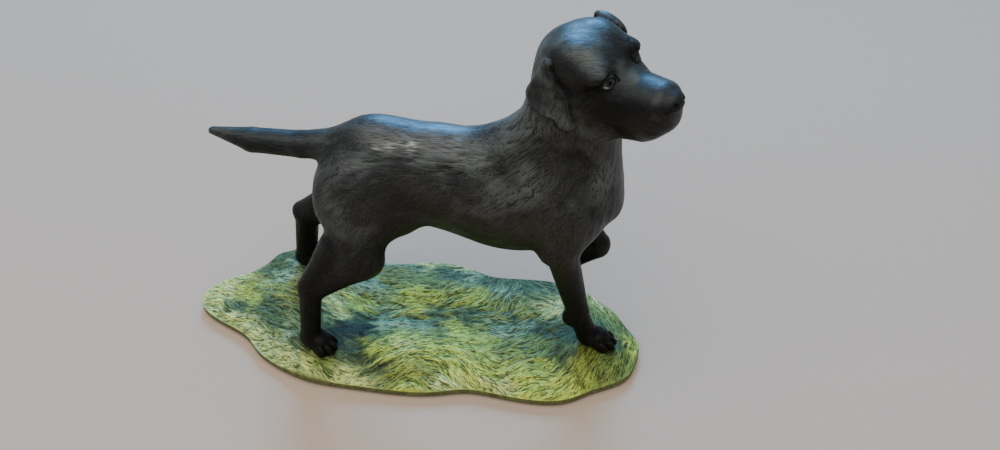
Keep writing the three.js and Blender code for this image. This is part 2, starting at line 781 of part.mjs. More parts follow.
const figurine = new THREE.Group();
figurine.name = 'labrador_figurine';
figurine.add(dogMesh(), baseMesh());

export default figurine;
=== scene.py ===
"""Looks of a painted figurine: a standing black labrador on a base of rough grass.

Blender works in metres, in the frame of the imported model: +X towards the dog's head, +Y to
its left, +Z up. The forms are worked out in millimetres, like the solids they stand for: the
dog as one smooth distance form, with its hair combed in afterwards, and the base as a height
field with its grass combed in.
"""

import math

import bmesh
import bpy
import numpy as np
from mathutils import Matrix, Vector


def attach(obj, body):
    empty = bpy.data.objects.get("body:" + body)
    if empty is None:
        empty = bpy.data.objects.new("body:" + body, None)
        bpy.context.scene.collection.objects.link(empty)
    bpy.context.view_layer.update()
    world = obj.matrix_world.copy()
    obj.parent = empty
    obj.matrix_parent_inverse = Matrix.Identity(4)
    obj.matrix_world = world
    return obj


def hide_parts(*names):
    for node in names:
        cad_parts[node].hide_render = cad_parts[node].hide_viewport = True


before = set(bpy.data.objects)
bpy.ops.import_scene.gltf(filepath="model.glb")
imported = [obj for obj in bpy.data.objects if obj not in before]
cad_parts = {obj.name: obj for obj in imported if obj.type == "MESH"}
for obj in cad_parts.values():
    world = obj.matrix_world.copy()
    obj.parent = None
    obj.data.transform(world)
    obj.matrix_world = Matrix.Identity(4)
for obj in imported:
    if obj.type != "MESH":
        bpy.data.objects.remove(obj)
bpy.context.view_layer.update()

MM = 0.001

# Sizes of the figurine, in millimetres, as in the solids.
BASE_LENGTH = 318.0
BASE_WIDTH = 122.0
GROUND_HEIGHT = 14.0
RIM_HEIGHT = 6.5
FOOT_HEIGHT = 2.4
FOOT_INSET = 2.2
PAD_RADIUS = 16.0
PAD_SLOPE = 14.0
DOG_ORIGIN = np.array([36.0, 3.5, 14.3])
DOG_LOW = np.array([-164.0, -58.0, -4.0])
DOG_HIGH = np.array([142.0, 58.0, 256.0])

# Mesh fineness, in millimetres.
NET_STEP = 2.5
GRASS_COLUMNS = 470
GRASS_ROWS = 184

# Hair and grass: grain and length of each kind of streak, and how far it is raised.
LOCKS, LOCK_DEPTH = (2.0, 15), 0.13
STRANDS, STRAND_DEPTH = (1.25, 10), 0.07
TUFTS, TUFT_RISE = (3.6, 14), 0.42
BLADES, BLADE_RISE = (1.25, 7), 0.22

# The view: what the camera looks at (in the row frame), its direction and its distance.
VIEW_TARGET = (60.0, 3.5, 105.3)
VIEW_AZIMUTH = 7.3
VIEW_ELEVATION = 43.5
VIEW_DISTANCE = 638.0
LENS = 36.0
SENSOR = 36.0

# The studio: the floor's colour, the sky's strength, and each soft light's name, azimuth,
# elevation, distance, size, power and colour. The window's light is the blue one behind.
FLOOR_COLOR = (0.571, 0.43, 0.322, 1)
SKY_COLOR = (0.95, 0.97, 1.0, 1)
SKY_STRENGTH = 0.35
SOFTBOXES = (
    ("top", -20, 74, 1.5, 2.2, 24.6, (1.0, 0.98, 0.95)),
    ("window", 184, 35, 3.0, 1.4, 128, (0.15, 0.5, 1.0)),
)


# Camera.

def direction(azimuth, elevation):
    """Unit vector from the target towards a camera at this azimuth and elevation."""
    az, el = math.radians(azimuth), math.radians(elevation)
    return Vector((math.sin(az) * math.cos(el), -math.cos(az) * math.cos(el), math.sin(el)))


def make_camera():
    camera = bpy.data.objects.new("camera", bpy.data.cameras.new("camera"))
    bpy.context.scene.collection.objects.link(camera)
    away = direction(VIEW_AZIMUTH, VIEW_ELEVATION)
    camera.location = (Vector(VIEW_TARGET) + away * VIEW_DISTANCE) * MM
    camera.rotation_euler = away.to_track_quat("Z", "Y").to_euler()
    camera.data.lens = LENS
    camera.data.sensor_width = SENSOR
    bpy.context.scene.camera = camera


# Distance forms, for arrays of points.

def smooth_min(a, b, k):
    """Union of two forms whose surfaces flow into each other over a width of about k."""
    h = np.clip(0.5 + 0.5 * (b - a) / k, 0, 1)
    return b + (a - b) * h - k * h * (1 - h)


def smooth_max(a, b, k):
    return -smooth_min(-a, -b, k)


def turned(heading, pitch, roll):
    """Rotation with this heading (about Z), pitch (nose up) and roll, in degrees."""
    (cy, cp, cr) = np.cos(np.radians([heading, pitch, roll]))
    (sy, sp, sr) = np.sin(np.radians([heading, pitch, roll]))
    about_z = np.array([[cy, -sy, 0], [sy, cy, 0], [0, 0, 1]])
    about_y = np.array([[cp, 0, -sp], [0, 1, 0], [sp, 0, cp]])
    about_x = np.array([[1, 0, 0], [0, cr, -sr], [0, sr, cr]])
    return (about_z @ about_y @ about_x).astype(np.float32)


def ball(p, center, radii, turn=None):
    """An egg of muscle or bone: an ellipsoid."""
    q = p - np.array(center, np.float32)
    if turn is not None:
        q = q @ turned(*turn)
    q = q / np.array(radii, np.float32)
    near = np.sqrt((q * q).sum(-1))
    q = q / np.array(radii, np.float32)
    steep = np.sqrt((q * q).sum(-1))
    return near * (near - 1) / np.maximum(steep, 1e-6)


def limb(p, start, end, start_radius, end_radius, wide=1.0):
    """A round bar that tapers from start to end, made wider across the body by wide."""
    squeeze = np.array([1, 1 / wide, 1], np.float32)
    q = (p - np.array(start, np.float32)) * squeeze
    along = (np.array(end, np.float32) - np.array(start, np.float32)) * squeeze
    t = np.clip((q @ along) / (along @ along), 0, 1)
    away = np.sqrt(((q - t[:, None] * along) ** 2).sum(-1))
    return (away - (start_radius + (end_radius - start_radius) * t)) * min(1.0, wide)


def within(p, low, high, part, far=60.0):
    """The part's distance at the points inside a box, and far at the rest."""
    value = np.full(len(p), far, np.float32)
    near = np.all((p > np.array(low)) & (p < np.array(high)), axis=1)
    if near.any():
        value[near] = part(p[near])
    return value


def joined(p, f, *forms):
    """The form f with more forms blended on. Each is a blend width, a shape and its sizes."""
    for k, shape, *sizes in forms:
        f = smooth_min(f, shape(p, *sizes), k)
    return f


# The dog, in its own frame: soles at z = 0, nose towards +X.

# Where each paw stands: middle of the foot, heading, size and pitch.
PAWS = {
    "near_hind": ((-96, -39.5, 0), -24, 1.0, 0),
    "far_hind": ((-119.5, 38.5, 0), 4, 1.0, 0),
    "near_fore": ((91, -13, 0), -14, 0.98, 0),
    "far_fore": ((64.5, 20, 50.6), 0, 0.86, -150),
}
TOES = ((-5.9, 5.6, 3.3), (-2.1, 9.0, 3.5), (2.1, 9.0, 3.5), (5.9, 5.6, 3.3))


def paw(p, name):
    """The foot's body with four toes, each with a short claw."""
    at, heading, size, pitch = PAWS[name]
    q = (p - np.array(at, np.float32)) @ turned(heading, pitch, 0) / size
    f = ball(q, (0, 0, 7), (10.5, 8.2, 7))
    f = smooth_min(f, ball(q, (-6, 0, 6.5), (7.5, 7, 7.5)), 3)
    for across, forward, radius in TOES:
        splay = across * 1.5
        toe = ball(q, (forward, across, 4.4), (6, radius * 0.86, 4.5), (splay, -8, 0))
        above = (forward - 1.5, across, 6.9)
        knuckle = ball(q, above, (2.8, radius * 0.62, 2.0), (splay, -18, 0))
        f = smooth_min(f, smooth_min(toe, knuckle, 0.8), 0.45)
        tip = np.array((forward + 5.2, across * 1.12, 3.0))
        claw = limb(q, tip, tip + (2.6, across * 0.04, -1.5), 1.05, 0.45)
        f = smooth_min(f, claw, 0.5)
    return f * size


def torso(p):
    f = joined(
        p, ball(p, (32, 0, 120), (55, 28, 42), (0, -2, 0)),  # rib cage
        (12, ball, (-16, 0, 128.8), (54, 24.5, 36.6), (0, 1, 0)),  # loin
        (10, ball, (-50, 0, 136), (33, 22, 32.5), (0, 2, 0)),  # pelvis
        (10, ball, (68, 0, 126), (26, 25, 34), (0, 14, 0)),  # chest
        (8, ball, (81, 0, 133), (12, 15, 26), (0, 2, 0)),  # breast
        (9, ball, (89, 0, 123), (10, 14, 13), (0, 25, 0)),  # point of the breast
        (12, ball, (35, 0, 161), (29, 15, 14), (0, 22, 0)),  # withers
    )
    for side in (-1, 1):
        f = joined(
            p, f,
            (8, ball, (58, 17 * side, 136), (17, 12, 30), (0, 20, 0)),  # shoulder blade
            (7, ball, (74, 14 * side, 112), (13, 12, 18), (0, -22, 0)),  # point of the shoulder
            (10, ball, (-68, 12 * side, 124), (20, 12, 24)),  # rump
            (14, ball, (-62, 19.5 * side, 115), (24, 12, 30), (0, 8, 0)),  # thigh
            (12, ball, (-39, 18 * side, 109), (14, 8, 15), (0, -25, 0)),  # flank
        )
    return f


def neck(p):
    throat = (10, limb, (79.5, 0, 140), (79, -3, 196), 17, 15, 1.15)
    return joined(p, limb(p, (54, 0, 149), (62.5, -2, 202), 26, 21, 0.9), throat)


def tail(p):
    return joined(
        p, limb(p, (-70, 0, 147.5), (-98, 0, 144.6), 11, 8.5),
        (1.5, limb, (-98, 0, 144.6), (-130, 0.4, 144.6), 8.5, 7.8),
        (1.5, limb, (-130, 0.4, 144.6), (-154.5, 1, 149), 7.8, 2.6),
    )


def near_hind(p):
    return joined(
        p, limb(p, (-64, -23, 112), (-61, -31, 84), 20, 14, 0.68),  # knee
        (9, limb, (-61, -32, 80), (-94, -34, 51), 12.5, 8, 0.82),  # second thigh
        (7, limb, (-80, -28, 88), (-98, -34, 56), 7.5, 4.6),  # hock tendon
        (3, limb, (-96.5, -35, 47), (-100, -38.5, 12), 7.4, 6.6, 0.92),  # pastern
        (3, ball, (-99, -34.5, 51), (4.6, 5, 6.5)),  # point of the hock
        (3, paw, "near_hind"),
    )


def far_hind(p):
    return joined(
        p, limb(p, (-66, 22, 114), (-70, 30, 86), 20, 14, 0.68),
        (8, limb, (-70, 31, 79), (-114, 36, 51), 12, 8.6, 0.82),
        (7, limb, (-87, 28, 86), (-121, 36, 55), 7.5, 5.4),
        (3, limb, (-118, 36.5, 49), (-123.5, 38, 12), 8.4, 7.8, 0.92),
        (3, ball, (-122, 36.5, 53), (5.2, 5, 6.5)),
        (3, paw, "far_hind"),
    )


def near_fore(p):
    return joined(
        p, limb(p, (66, -19, 124), (63, -22, 98), 17, 11.5, 0.72),  # upper arm
        (5, limb, (64.5, -22, 96), (77.5, -15, 34), 10.7, 7.4, 0.9),  # forearm
        (4, ball, (57, -23, 93), (5.5, 5.5, 7)),  # elbow
        (3, ball, (73.5, -15, 27), (6, 6, 6.5)),  # back of the wrist
        (3, limb, (77.5, -15, 32), (84, -13, 12), 7.4, 7, 0.95),  # pastern
        (3, paw, "near_fore"),
    )


def far_fore(p):
    return joined(
        p, limb(p, (66, 19, 124), (67, 22, 98), 17, 11.5, 0.72),
        (5, limb, (67, 22, 94), (87, 21, 64), 10, 7.4, 0.9),
        (3, ball, (88.5, 21, 61), (7, 7.2, 7.5)),
        (3, limb, (87, 21, 58), (72, 20, 48), 7, 6.6),  # folded pastern
        (3, paw, "far_fore"),
    )


# The head has a frame of its own between the eyes, turned towards the dog's right.
HEAD_PLACE = np.array([81.5, -5.3, 212.7], np.float32)
HEAD_TURN = turned(-33, 11, 6)
HEAD_SIZE = 0.93
EYE_PLACE = (13.4, 13.2, 10.3)
EYE_RADIUS = 4.2
EYE_HEADING = 25.0
NOSE_PLACE = (46.8, 0, -3.5)


def into_head(p):
    return ((p - HEAD_PLACE) @ HEAD_TURN) / HEAD_SIZE


def eye_frame(q, side):
    """Place in the frame of one eye: gaze, along the lids and up."""
    ex, ey, ez = EYE_PLACE
    return (q - np.array((ex, ey * side, ez), np.float32)) @ turned(EYE_HEADING * side, 8, 6 * side)


def almond(e, half_width, half_height):
    """Distance in the lids' plane to an almond of this size: two arcs that meet."""
    radius = (half_width ** 2 + half_height ** 2) / (2 * half_height)
    drop = radius - half_height
    return np.maximum(np.hypot(e[:, 1], e[:, 2] + drop), np.hypot(e[:, 1], e[:, 2] - drop)) - radius


def eye(f, q, side):
    """The face with an eye set in: a ball behind two lids, with a crease round them."""
    e = eye_frame(q, side)
    opening = almond(e, 4.4, 2.6)
    eyeball = np.sqrt((e * e).sum(-1)) - EYE_RADIUS
    lids = np.sqrt((e * e).sum(-1)) - (EYE_RADIUS + 1.0)
    crease = np.maximum(np.abs(almond(e, 6.4, 4.5)) - 0.1, -0.8 - e[:, 2])
    f = smooth_max(f, -np.maximum(crease, np.abs(f) - 0.5), 1.0)
    f = smooth_min(f, np.maximum(lids, -(e[:, 0] - 0.5)), 1.2)
    f = smooth_max(f, -np.maximum(opening, -(e[:, 0] - 1.0)), 0.5)
    return np.minimum(f, eyeball)


def head(q):
    f = joined(
        q, ball(q, (-17, 0, 7), (26, 24.6, 24.2)),  # skull
        (8, ball, (-1, 0, 11.5), (18, 22, 15), (0, -20, 0)),  # forehead
        (6, ball, (10, 0, 2), (15, 13, 11)),  # stop
        (7, limb, (6, 0, -4), (39.5, 0, -4.5), 14, 10.8, 1.32),  # muzzle
        (5, ball, (34, 0, -13.5), (16, 15.5, 13.8)),  # lips
        (7, limb, (27, 0, -23.5), (-6, 0, -26), 10.5, 12, 1.3),  # lower jaw
    )
    for side in (-1, 1):
        f = joined(
            q, f,
            (6, ball, (-10.5, 11.5 * side, 15.3), (19, 13.5, 15)),  # crown
            (7, ball, (-5, 15 * side, -9), (17, 10, 15)),  # cheek
            (6, ball, (15, 10 * side, -11), (14, 7.5, 12)),  # cheek towards the lip
            (5, ball, (12, 11.2 * side, 1), (9, 7, 9)),  # below the eye
            (5, ball, (8.5, 15.6 * side, 15.4), (8, 8, 5), (0, 0, -20 * side)),  # brow
            (4, ball, (30, 9 * side, -15), (14, 8, 12), (0, -8, 0)),  # hanging lip
        )
        f = eye(f, q, side)
    f = smooth_min(f, ball(q, NOSE_PLACE, (7.0, 8.6, 6.5)), 2)
    f = smooth_max(f, -limb(q, (54, 0, -7), (50, 0, -17), 0.5, 0.8), 0.8)  # philtrum
    for side in (-1, 1):
        nostril = ball(q, (51.8, 4.6 * side, -2.6), (2.4, 1.8, 1.9))
        wing = limb(q, (50.6, 5.8 * side, -3.4), (47.4, 8.9 * side, -5.6), 1.1, 0.5)
        f = smooth_max(f, -smooth_min(nostril, wing, 0.6), 0.6)
    return smooth_min(f, ball(q, (-24, 0, -14), (19, 18.5, 19)), 10)  # nape


def side_bar(x, z, start, end, start_radius, end_radius):
    """Distance in the head's side view to a bar that tapers between two points."""
    sx, sz = end[0] - start[0], end[1] - start[1]
    t = np.clip(((x - start[0]) * sx + (z - start[1]) * sz) / (sx * sx + sz * sz), 0, 1)
    away = np.hypot(x - start[0] - t * sx, z - start[1] - t * sz)
    return away - (start_radius + (end_radius - start_radius) * t)


EAR_ROOT = (-19.5, 20)
EAR_FRONT = (-12.5, 1)
EAR_TIP = (-9.5, -16)
EAR_MIDDLE = (-18, -2)
EAR_REAR = (-32.5, -1.5)


def ear(q, side, surface):
    """An ear lies on the head like a thick leaf: inside a three-cornered outline the head's
    surface is raised by the ear's thickness."""
    shift_x, shift_z = (0.0, 0.0) if side < 0 else (4.5, 1.0)
    x, z = q[:, 0] - shift_x, q[:, 2] - shift_z
    outwards = q[:, 1] * side
    upper = side_bar(x, z, EAR_ROOT, EAR_FRONT, 3.2, 6)
    front = smooth_min(upper, side_bar(x, z, EAR_FRONT, EAR_TIP, 6, 5), 3)
    rear = side_bar(x, z, EAR_ROOT, EAR_REAR, 3.2, 5.5)
    middle = side_bar(x, z, EAR_ROOT, EAR_MIDDLE, 3.2, 8.5)
    low = side_bar(x, z, EAR_REAR, EAR_MIDDLE, 5.5, 8.5)
    outline = smooth_min(smooth_min(front, rear, 2), smooth_min(middle, low, 2), 2)
    fold = side_bar(x, z, (-35, 0), (-27, -5.5), 0, 0)
    fold = np.minimum(fold, side_bar(x, z, (-27, -5.5), (-15.5, -10), 0, 0))
    edge = np.exp(-((front + 1.2) / 1.2) ** 2)
    thickness = 2.8 + 0.2 * edge + 1.0 * np.exp(-(fold / 2.2) ** 2)
    thickness -= 0.8 * np.exp(-((x + 21) ** 2 + (z - 3) ** 2) / 50)
    leaf = smooth_max(smooth_max(surface - thickness, outline, 1.8), 9 - outwards, 2)
    if side > 0:
        leaf = smooth_min(leaf, ball(q, (-8.8, 25, 21.2), (12, 4.6, 5.4), (0, -27, 0)), 3.5)
    return leaf


def dog(p):
    """The whole dog, cut off flat at the soles."""
    f = within(p, (-200, -70, 60), (140, 70, 260), torso)
    f = smooth_min(f, within(p, (-200, -40, 110), (-40, 40, 180), tail), 6)
    f = smooth_min(f, within(p, (0, -60, 90), (140, 60, 260), neck), 12)
    high = p[:, 2] > 150
    q = into_head(p[high])
    body = smooth_min(f[high], head(q) * HEAD_SIZE, 7)
    surface = body / HEAD_SIZE
    ears = np.full(len(p), 60.0, np.float32)
    ears[high] = np.minimum(ear(q, -1, surface), ear(q, 1, surface)) * HEAD_SIZE
    f[high] = body
    for leg, low, high in (
        (near_hind, (-140, -80, -20), (-20, 10, 150)),
        (far_hind, (-160, -10, -20), (-20, 80, 150)),
        (near_fore, (30, -70, -20), (140, 15, 150)),
        (far_fore, (30, -15, 10), (140, 70, 150)),
    ):
        f = smooth_min(f, within(p, low, high, leg), 9)
    f = smooth_min(f, ears, 0.8)
    return np.maximum(f, -p[:, 2])


def in_chunks(shape, points, size=300000):
    values = np.empty(len(points), np.float32)
    for start in range(0, len(points), size):
        values[start:start + size] = shape(points[start:start + size].astype(np.float32))
    return values


# From a distance form to a mesh.

def sample_form(shape, low, high, step, block=4):
    """Samples the form on a grid. Blocks far from the surface take their middle value."""
    counts = np.ceil((high - low) / (step * block)).astype(int)
    middles = np.indices(counts).reshape(3, -1).T * block + block / 2
    coarse = in_chunks(shape, low + middles * step).reshape(counts)

    def spread(a):
        for axis in range(3):
            a = np.repeat(a, block, axis)
        return a

    values = spread(coarse)
    near = spread(np.abs(coarse) < 1.6 * step * block)
    values[near] = in_chunks(shape, low + np.argwhere(near) * step)
    return values


CORNERS = [(n & 1, n >> 1 & 1, n >> 2) for n in range(8)]


def corner_slices(offset, shape):
    return tuple(slice(o, n - 1 + o) for o, n in zip(offset, shape))


def hangs_together(code):
    """True where the corners set in this 8-bit code join along the cell's edges."""
    corners = [n for n in range(8) if code >> n & 1]
    reached = set(corners[:1])
    for _ in corners:
        reached |= {n ^ axis for n in reached for axis in (1, 2, 4) if n ^ axis in corners}
    return len(reached) == len(corners)


def open_pinches(values):
    """Where two parts of the surface pass through one cell, its nearest outer corner is
    taken into the form, so the surface stays a plain skin."""
    pinched = np.array([not (hangs_together(c) and hangs_together(255 - c)) for c in range(256)])
    for _ in range(20):
        code = np.zeros([n - 1 for n in values.shape], np.uint8)
        for n, offset in enumerate(CORNERS):
            code |= (values[corner_slices(offset, values.shape)] < 0).astype(np.uint8) << n
        cells = np.argwhere(pinched[code])
        if not len(cells):
            return
        for cell in cells:
            corners = [tuple(cell + offset) for offset in CORNERS]
            outer = [c for c in corners if values[c] >= 0]
            if outer:
                values[min(outer, key=lambda c: values[c])] = -0.02


def surface_net(values, low, step):
    """One point in each cell that the surface passes through, and a quad across each
    grid edge that it crosses."""
    inside = values < 0
    count = sum(inside[corner_slices(o, values.shape)].astype(np.uint8) for o in CORNERS)
    cells = np.argwhere((count > 0) & (count < 8))
    number = np.full(count.shape, -1, np.int64)
    number[tuple(cells.T)] = np.arange(len(cells))
    corner_values = [values[tuple((cells + o).T)] for o in CORNERS]
    total = np.zeros((len(cells), 3))
    crossings = np.zeros(len(cells))
    for n in range(8):
        for axis in (1, 2, 4):
            if n & axis:
                continue
            a, b = corner_values[n], corner_values[n | axis]
            crosses = (a < 0) != (b < 0)
            t = np.where(crosses, a / np.where(crosses, a - b, 1), 0)
            start, end = np.array(CORNERS[n]), np.array(CORNERS[n | axis])
            total += (start + t[:, None] * (end - start)) * crosses[:, None]
            crossings += crosses
    points = low + (cells + total / crossings[:, None]) * step
    quads = []
    for axis in range(3):
        across, up = [(1, 2), (2, 0), (0, 1)][axis]
        ahead = np.eye(3, dtype=int)[axis]
        first = inside[tuple(slice(0, n - 1) if a == axis else slice(1, n - 1)
                             for a, n in enumerate(inside.shape))]
        second = inside[tuple(slice(1, n) if a == axis else slice(1, n - 1)
                              for a, n in enumerate(inside.shape))]
        edges = np.argwhere(first != second)
        edges[:, [across, up]] += 1
        ring = []
        for back_across, back_up in ((1, 1), (0, 1), (0, 0), (1, 0)):
            cell = edges.copy()
            cell[:, across] -= back_across
            cell[:, up] -= back_up
            ring.append(number[tuple(cell.T)])
        quad = np.stack(ring, -1)
        outwards = ~inside[tuple(edges.T)]
        quad[outwards] = quad[outwards][:, ::-1]
        quads.append(quad)
    return points, np.concatenate(quads)


TETRAHEDRON = np.array([[1, 1, 1], [1, -1, -1], [-1, 1, -1], [-1, -1, 1]], np.float32)


def value_and_slope(shape, points, reach):
    samples = np.stack([in_chunks(shape, points + t * reach) for t in TETRAHEDRON])
    return samples.mean(0), (samples.T @ TETRAHEDRON) / (4 * reach)


def onto_form(shape, points, reach, rounds=2):
    """Moves the points onto the surface, and gives the outward normals there."""
    for _ in range(rounds):
        value, slope = value_and_slope(shape, points, reach)
        steep = np.maximum((slope ** 2).sum(-1), 0.2)
        points = points - slope * np.clip(value / steep, -2, 2)[:, None]
    slope = value_and_slope(shape, points, reach)[1]
    return points, slope / np.maximum(np.linalg.norm(slope, axis=1, keepdims=True), 1e-6)


def refined(mesh, fine):
    """Splits in four the faces round the marked points."""
    bm = bmesh.new()
    bm.from_mesh(mesh)
    bm.verts.ensure_lookup_table()
    edges = [e for e in bm.edges if fine[e.verts[0].index] and fine[e.verts[1].index]]
    bmesh.ops.subdivide_edges(bm, edges=edges, cuts=1, use_grid_fill=True)
    bm.to_mesh(mesh)
    bm.free()


def points_of(mesh):
    flat = np.empty(len(mesh.vertices) * 3, np.float32)
    mesh.vertices.foreach_get("co", flat)
    return flat.reshape(-1, 3)


def set_points(mesh, points):
    mesh.vertices.foreach_set("co", np.ascontiguousarray(points, np.float32).ravel())
    mesh.update()


def add_masks(mesh, name, columns):
    """Stores up to three masks as a colour attribute for the material to read."""
    layer = mesh.color_attributes.new(name, "FLOAT_COLOR", "POINT")
    values = np.ones((len(mesh.vertices), 4), np.float32)
    for n, column in enumerate(columns):
        values[:, n] = column
    layer.data.foreach_set("color", values.ravel())


# Noise, and combing it into hair.

NOISE_SIZE = 64
NOISE = np.random.default_rng(11).random((NOISE_SIZE,) * 3).astype(np.float32)


def noise(p, grain):
    """Smooth random values from 0 to 1 with this grain."""
    q = p / grain
    cell = np.floor(q).astype(np.int64)
    t = (q - cell).astype(np.float32)
    t = t * t * (3 - 2 * t)
    total = np.zeros(len(p), np.float32)
    for offset in CORNERS:
        weight = np.prod([t[:, a] if offset[a] else 1 - t[:, a] for a in range(3)], axis=0)
        index = (cell + offset) % NOISE_SIZE
        total += NOISE[index[:, 0], index[:, 1], index[:, 2]] * weight
    return total


def flow(p, anchors, dims):
    """Combing direction at each point: a blend of the nearest anchors' directions.
    An anchor is a place, a direction and a reach."""
    total = np.zeros((len(p), dims), np.float32)
    for place, heading, reach in anchors:
        heading = np.array(heading, np.float32)
        heading = heading / np.linalg.norm(heading)
        away2 = ((p[:, :dims] - np.array(place, np.float32)) ** 2).sum(-1)
        total += heading / (1 + away2 / reach ** 2)[:, None] ** 3
    return total


def standard(values):
    """The values with their mean brought to 0 and their spread to 1."""
    return (values - values.mean()) / values.std()


def combed(p, headings, streak, steps=7):
    """Noise averaged along the headings, so that it streaks."""
    grain, length = streak
    total = noise(p, grain)
    for sense in (-1, 1):
        for n in range(1, steps + 1):
            total += noise(p + headings * (sense * n * length / steps / 2), grain)
    return standard(total)


# The dog's coat.

# Where the hair lies which way: place, direction and reach, for the dog's right side
# (y is mirrored for the left).
HAIR = (
    ((20, -10, 170), (-1, 0, -0.1), 22), ((-20, -10, 166), (-1, 0, 0), 26),
    ((-60, -10, 166), (-1, 0, -0.1), 24), ((45, -14, 172), (-0.6, 0, -0.8), 16),
    ((55, -28, 142), (-0.62, 0, -0.78), 20), ((66, -28, 112), (-0.3, 0, -0.95), 18),
    ((25, -26, 150), (-0.72, 0, -0.7), 20), ((20, -28, 125), (-0.9, 0, -0.45), 20),
    ((15, -22, 92), (-1, 0, 0.05), 22), ((-15, -24, 148), (-0.9, 0, -0.42), 18),
    ((-25, -25, 125), (-0.72, 0, -0.7), 18), ((-38, -25, 105), (-0.45, 0, -0.9), 16),
    ((-62, -26, 145), (-0.8, 0, -0.6), 18), ((-66, -30, 115), (-0.5, 0, -0.86), 20),
    ((-84, -14, 120), (-0.2, 0, -1), 14), ((-70, -30, 80), (-0.5, 0, -0.85), 16),
    ((-100, -36, 40), (-0.1, 0, -1), 22), ((75, -18, 60), (0.15, 0, -1), 30),
    ((84, -14, 20), (0.4, 0, -1), 14), ((44, -14, 190), (-0.25, 0, -1), 16),
    ((66, -22, 185), (-0.1, 0, -1), 16), ((88, -12, 165), (0.1, 0, -1), 14),
    ((92, -8, 135), (0.0, 0, -1), 12), ((84, -16, 140), (-0.4, -0.2, -0.8), 10),
    ((70, -12, 236), (-1, 0, 0.1), 18), ((100, -16, 215), (-1, 0.6, 0.2), 14),
    ((120, -26, 198), (-1, 0.6, 0.1), 14), ((-110, 0, 146), (-1, 0, 0), 30),
)


def hair_headings(p, normals):
    """Combing direction of the hair: the anchors' flow, wandering a little, along the skin."""
    headings = flow(right_side(p), HAIR, 3)
    headings[:, 1:2] *= -np.sign(p[:, 1:2])
    wander = noise(p + 300, 14) - 0.5
    headings[:, 2] += 0.9 * wander * np.linalg.norm(headings, axis=1)
    headings -= normals * (headings * normals).sum(-1, keepdims=True)
    return headings / np.maximum(np.linalg.norm(headings, axis=1, keepdims=True), 1e-6)


def right_side(p):
    """Every point as its mirror image on the dog's right side."""
    return np.stack([p[:, 0], -np.abs(p[:, 1]), p[:, 2]], -1)


def sum_of_places(p, places):
    """Soft spots added up: each has a place, its reach and its gain at the middle."""
    total = np.zeros(len(p), np.float32)
    for place, reach, gain in places:
        scaled = (p - np.array(place, np.float32)) / np.array(reach, np.float32)
        total += gain * np.exp(-(scaled ** 2).sum(-1))
    return total


# How deep the hair is carved, for the dog's right side: deep on the shoulder, the neck
# and the chest, shallow on the loin and the thigh.
CARVED = (
    ((44, -26, 150), (34, 30, 30), 1.0),
    ((66, -28, 135), (22, 20, 34), 0.7),
    ((-12, -26, 148), (40, 30, 16), 0.7),
    ((58, -20, 182), (22, 30, 20), 0.6),
    ((84, -12, 150), (14, 24, 26), 0.8),
    ((-66, -30, 128), (24, 20, 26), 0.5), ((-20, 0, 166), (70, 16, 9), 0.6),
)


def carving(p):
    """How deep the hair is carved: shallow on the face, the legs and the tail."""
    from_face = np.linalg.norm((into_head(p) - (8, 0, 0)) / (46, 34, 34), axis=1) - 0.6
    face = np.exp(-(np.maximum(from_face, 0) / 0.25) ** 2)
    legs = np.clip((88 - p[:, 2]) / 26, 0, 1)
    tail_part = np.clip((-84 - p[:, 0]) / 10, 0, 1) * (p[:, 2] > 125)
    smoother = (1 - 0.85 * face) * (1 - 0.6 * legs) * (1 - 0.5 * tail_part)
    return (0.28 + sum_of_places(right_side(p), CARVED)) * smoother


# Folds of loose skin on the neck and the chest: places along each fold, how wide and
# how deep it is, on the dog's right side.
FOLDS = (
    (((42, -16, 186), (50, -21, 180), (60, -23, 174), (69, -22, 170)), 3.4, 0.9),
    (((68, -21, 176), (75, -21, 169), (83, -19, 160)), 2.6, 1.1),
    (((64, -30, 140), (72, -29, 133), (82, -25, 134)), 3.6, 0.8),
    (((77, -24, 160), (70, -27, 150), (73, -27, 142)), 3.2, 0.7),
    (((90, -12, 156), (86, -18, 146), (80, -22, 142)), 2.6, 0.5),
    (((60, -20, 190), (72, -20, 182), (82, -18, 176)), 2.6, 0.6),
)

# Wrinkles above and behind the eye, in the head's frame.
WRINKLES = (
    (((11.5, -15, 21), (15.5, -10.5, 17.5)), 1.0, 0.3),
    (((12.5, -17.5, 18.5), (15.8, -13.5, 16.5)), 1.0, 0.3),
    (((0, -24, 5.5), (7, -21, 8)), 0.9, 0.4),
    (((1.5, -24, 1.5), (8, -20.5, 3.5)), 0.9, 0.3),
)


def chain_distance(p, places):
    """Distance to a chain of straight pieces."""
    nearest = np.full(len(p), 1e3, np.float32)
    for start, end in zip(places, places[1:]):
        along = np.array(end, np.float32) - np.array(start, np.float32)
        q = p - np.array(start, np.float32)
        t = np.clip(q @ along / (along @ along), 0, 1)
        nearest = np.minimum(nearest, np.linalg.norm(q - t[:, None] * along, axis=1))
    return nearest


def creases(p, chains):
    depth = np.zeros(len(p), np.float32)
    for places, wide, deep in chains:
        depth += deep * np.exp(-(chain_distance(p, places) / wide) ** 2)
    return depth


def openness(shape, points, normals, reach):
    """How free the space above each point is: 1 on a flat or rounded surface, falling
    to 0 in a crevice."""
    return np.clip(in_chunks(shape, points + normals * reach) / reach, 0, 1)


# Pale scuffs on the loin.
SCUFFS = (
    ((-48, -14.5, 158.5), (3, 3, 2), 0.9), ((-40, -13.5, 159), (4, 3, 1.6), 0.8),
    ((-28, -10, 161), (3, 3, 1.4), 0.7), ((-26.5, -12.7, 159), (2.4, 3, 3), 1.0),
    ((-36, -11, 161), (12, 4, 2.4), 0.5), ((-46, -12, 160), (8, 4, 2.0), 0.4),
)

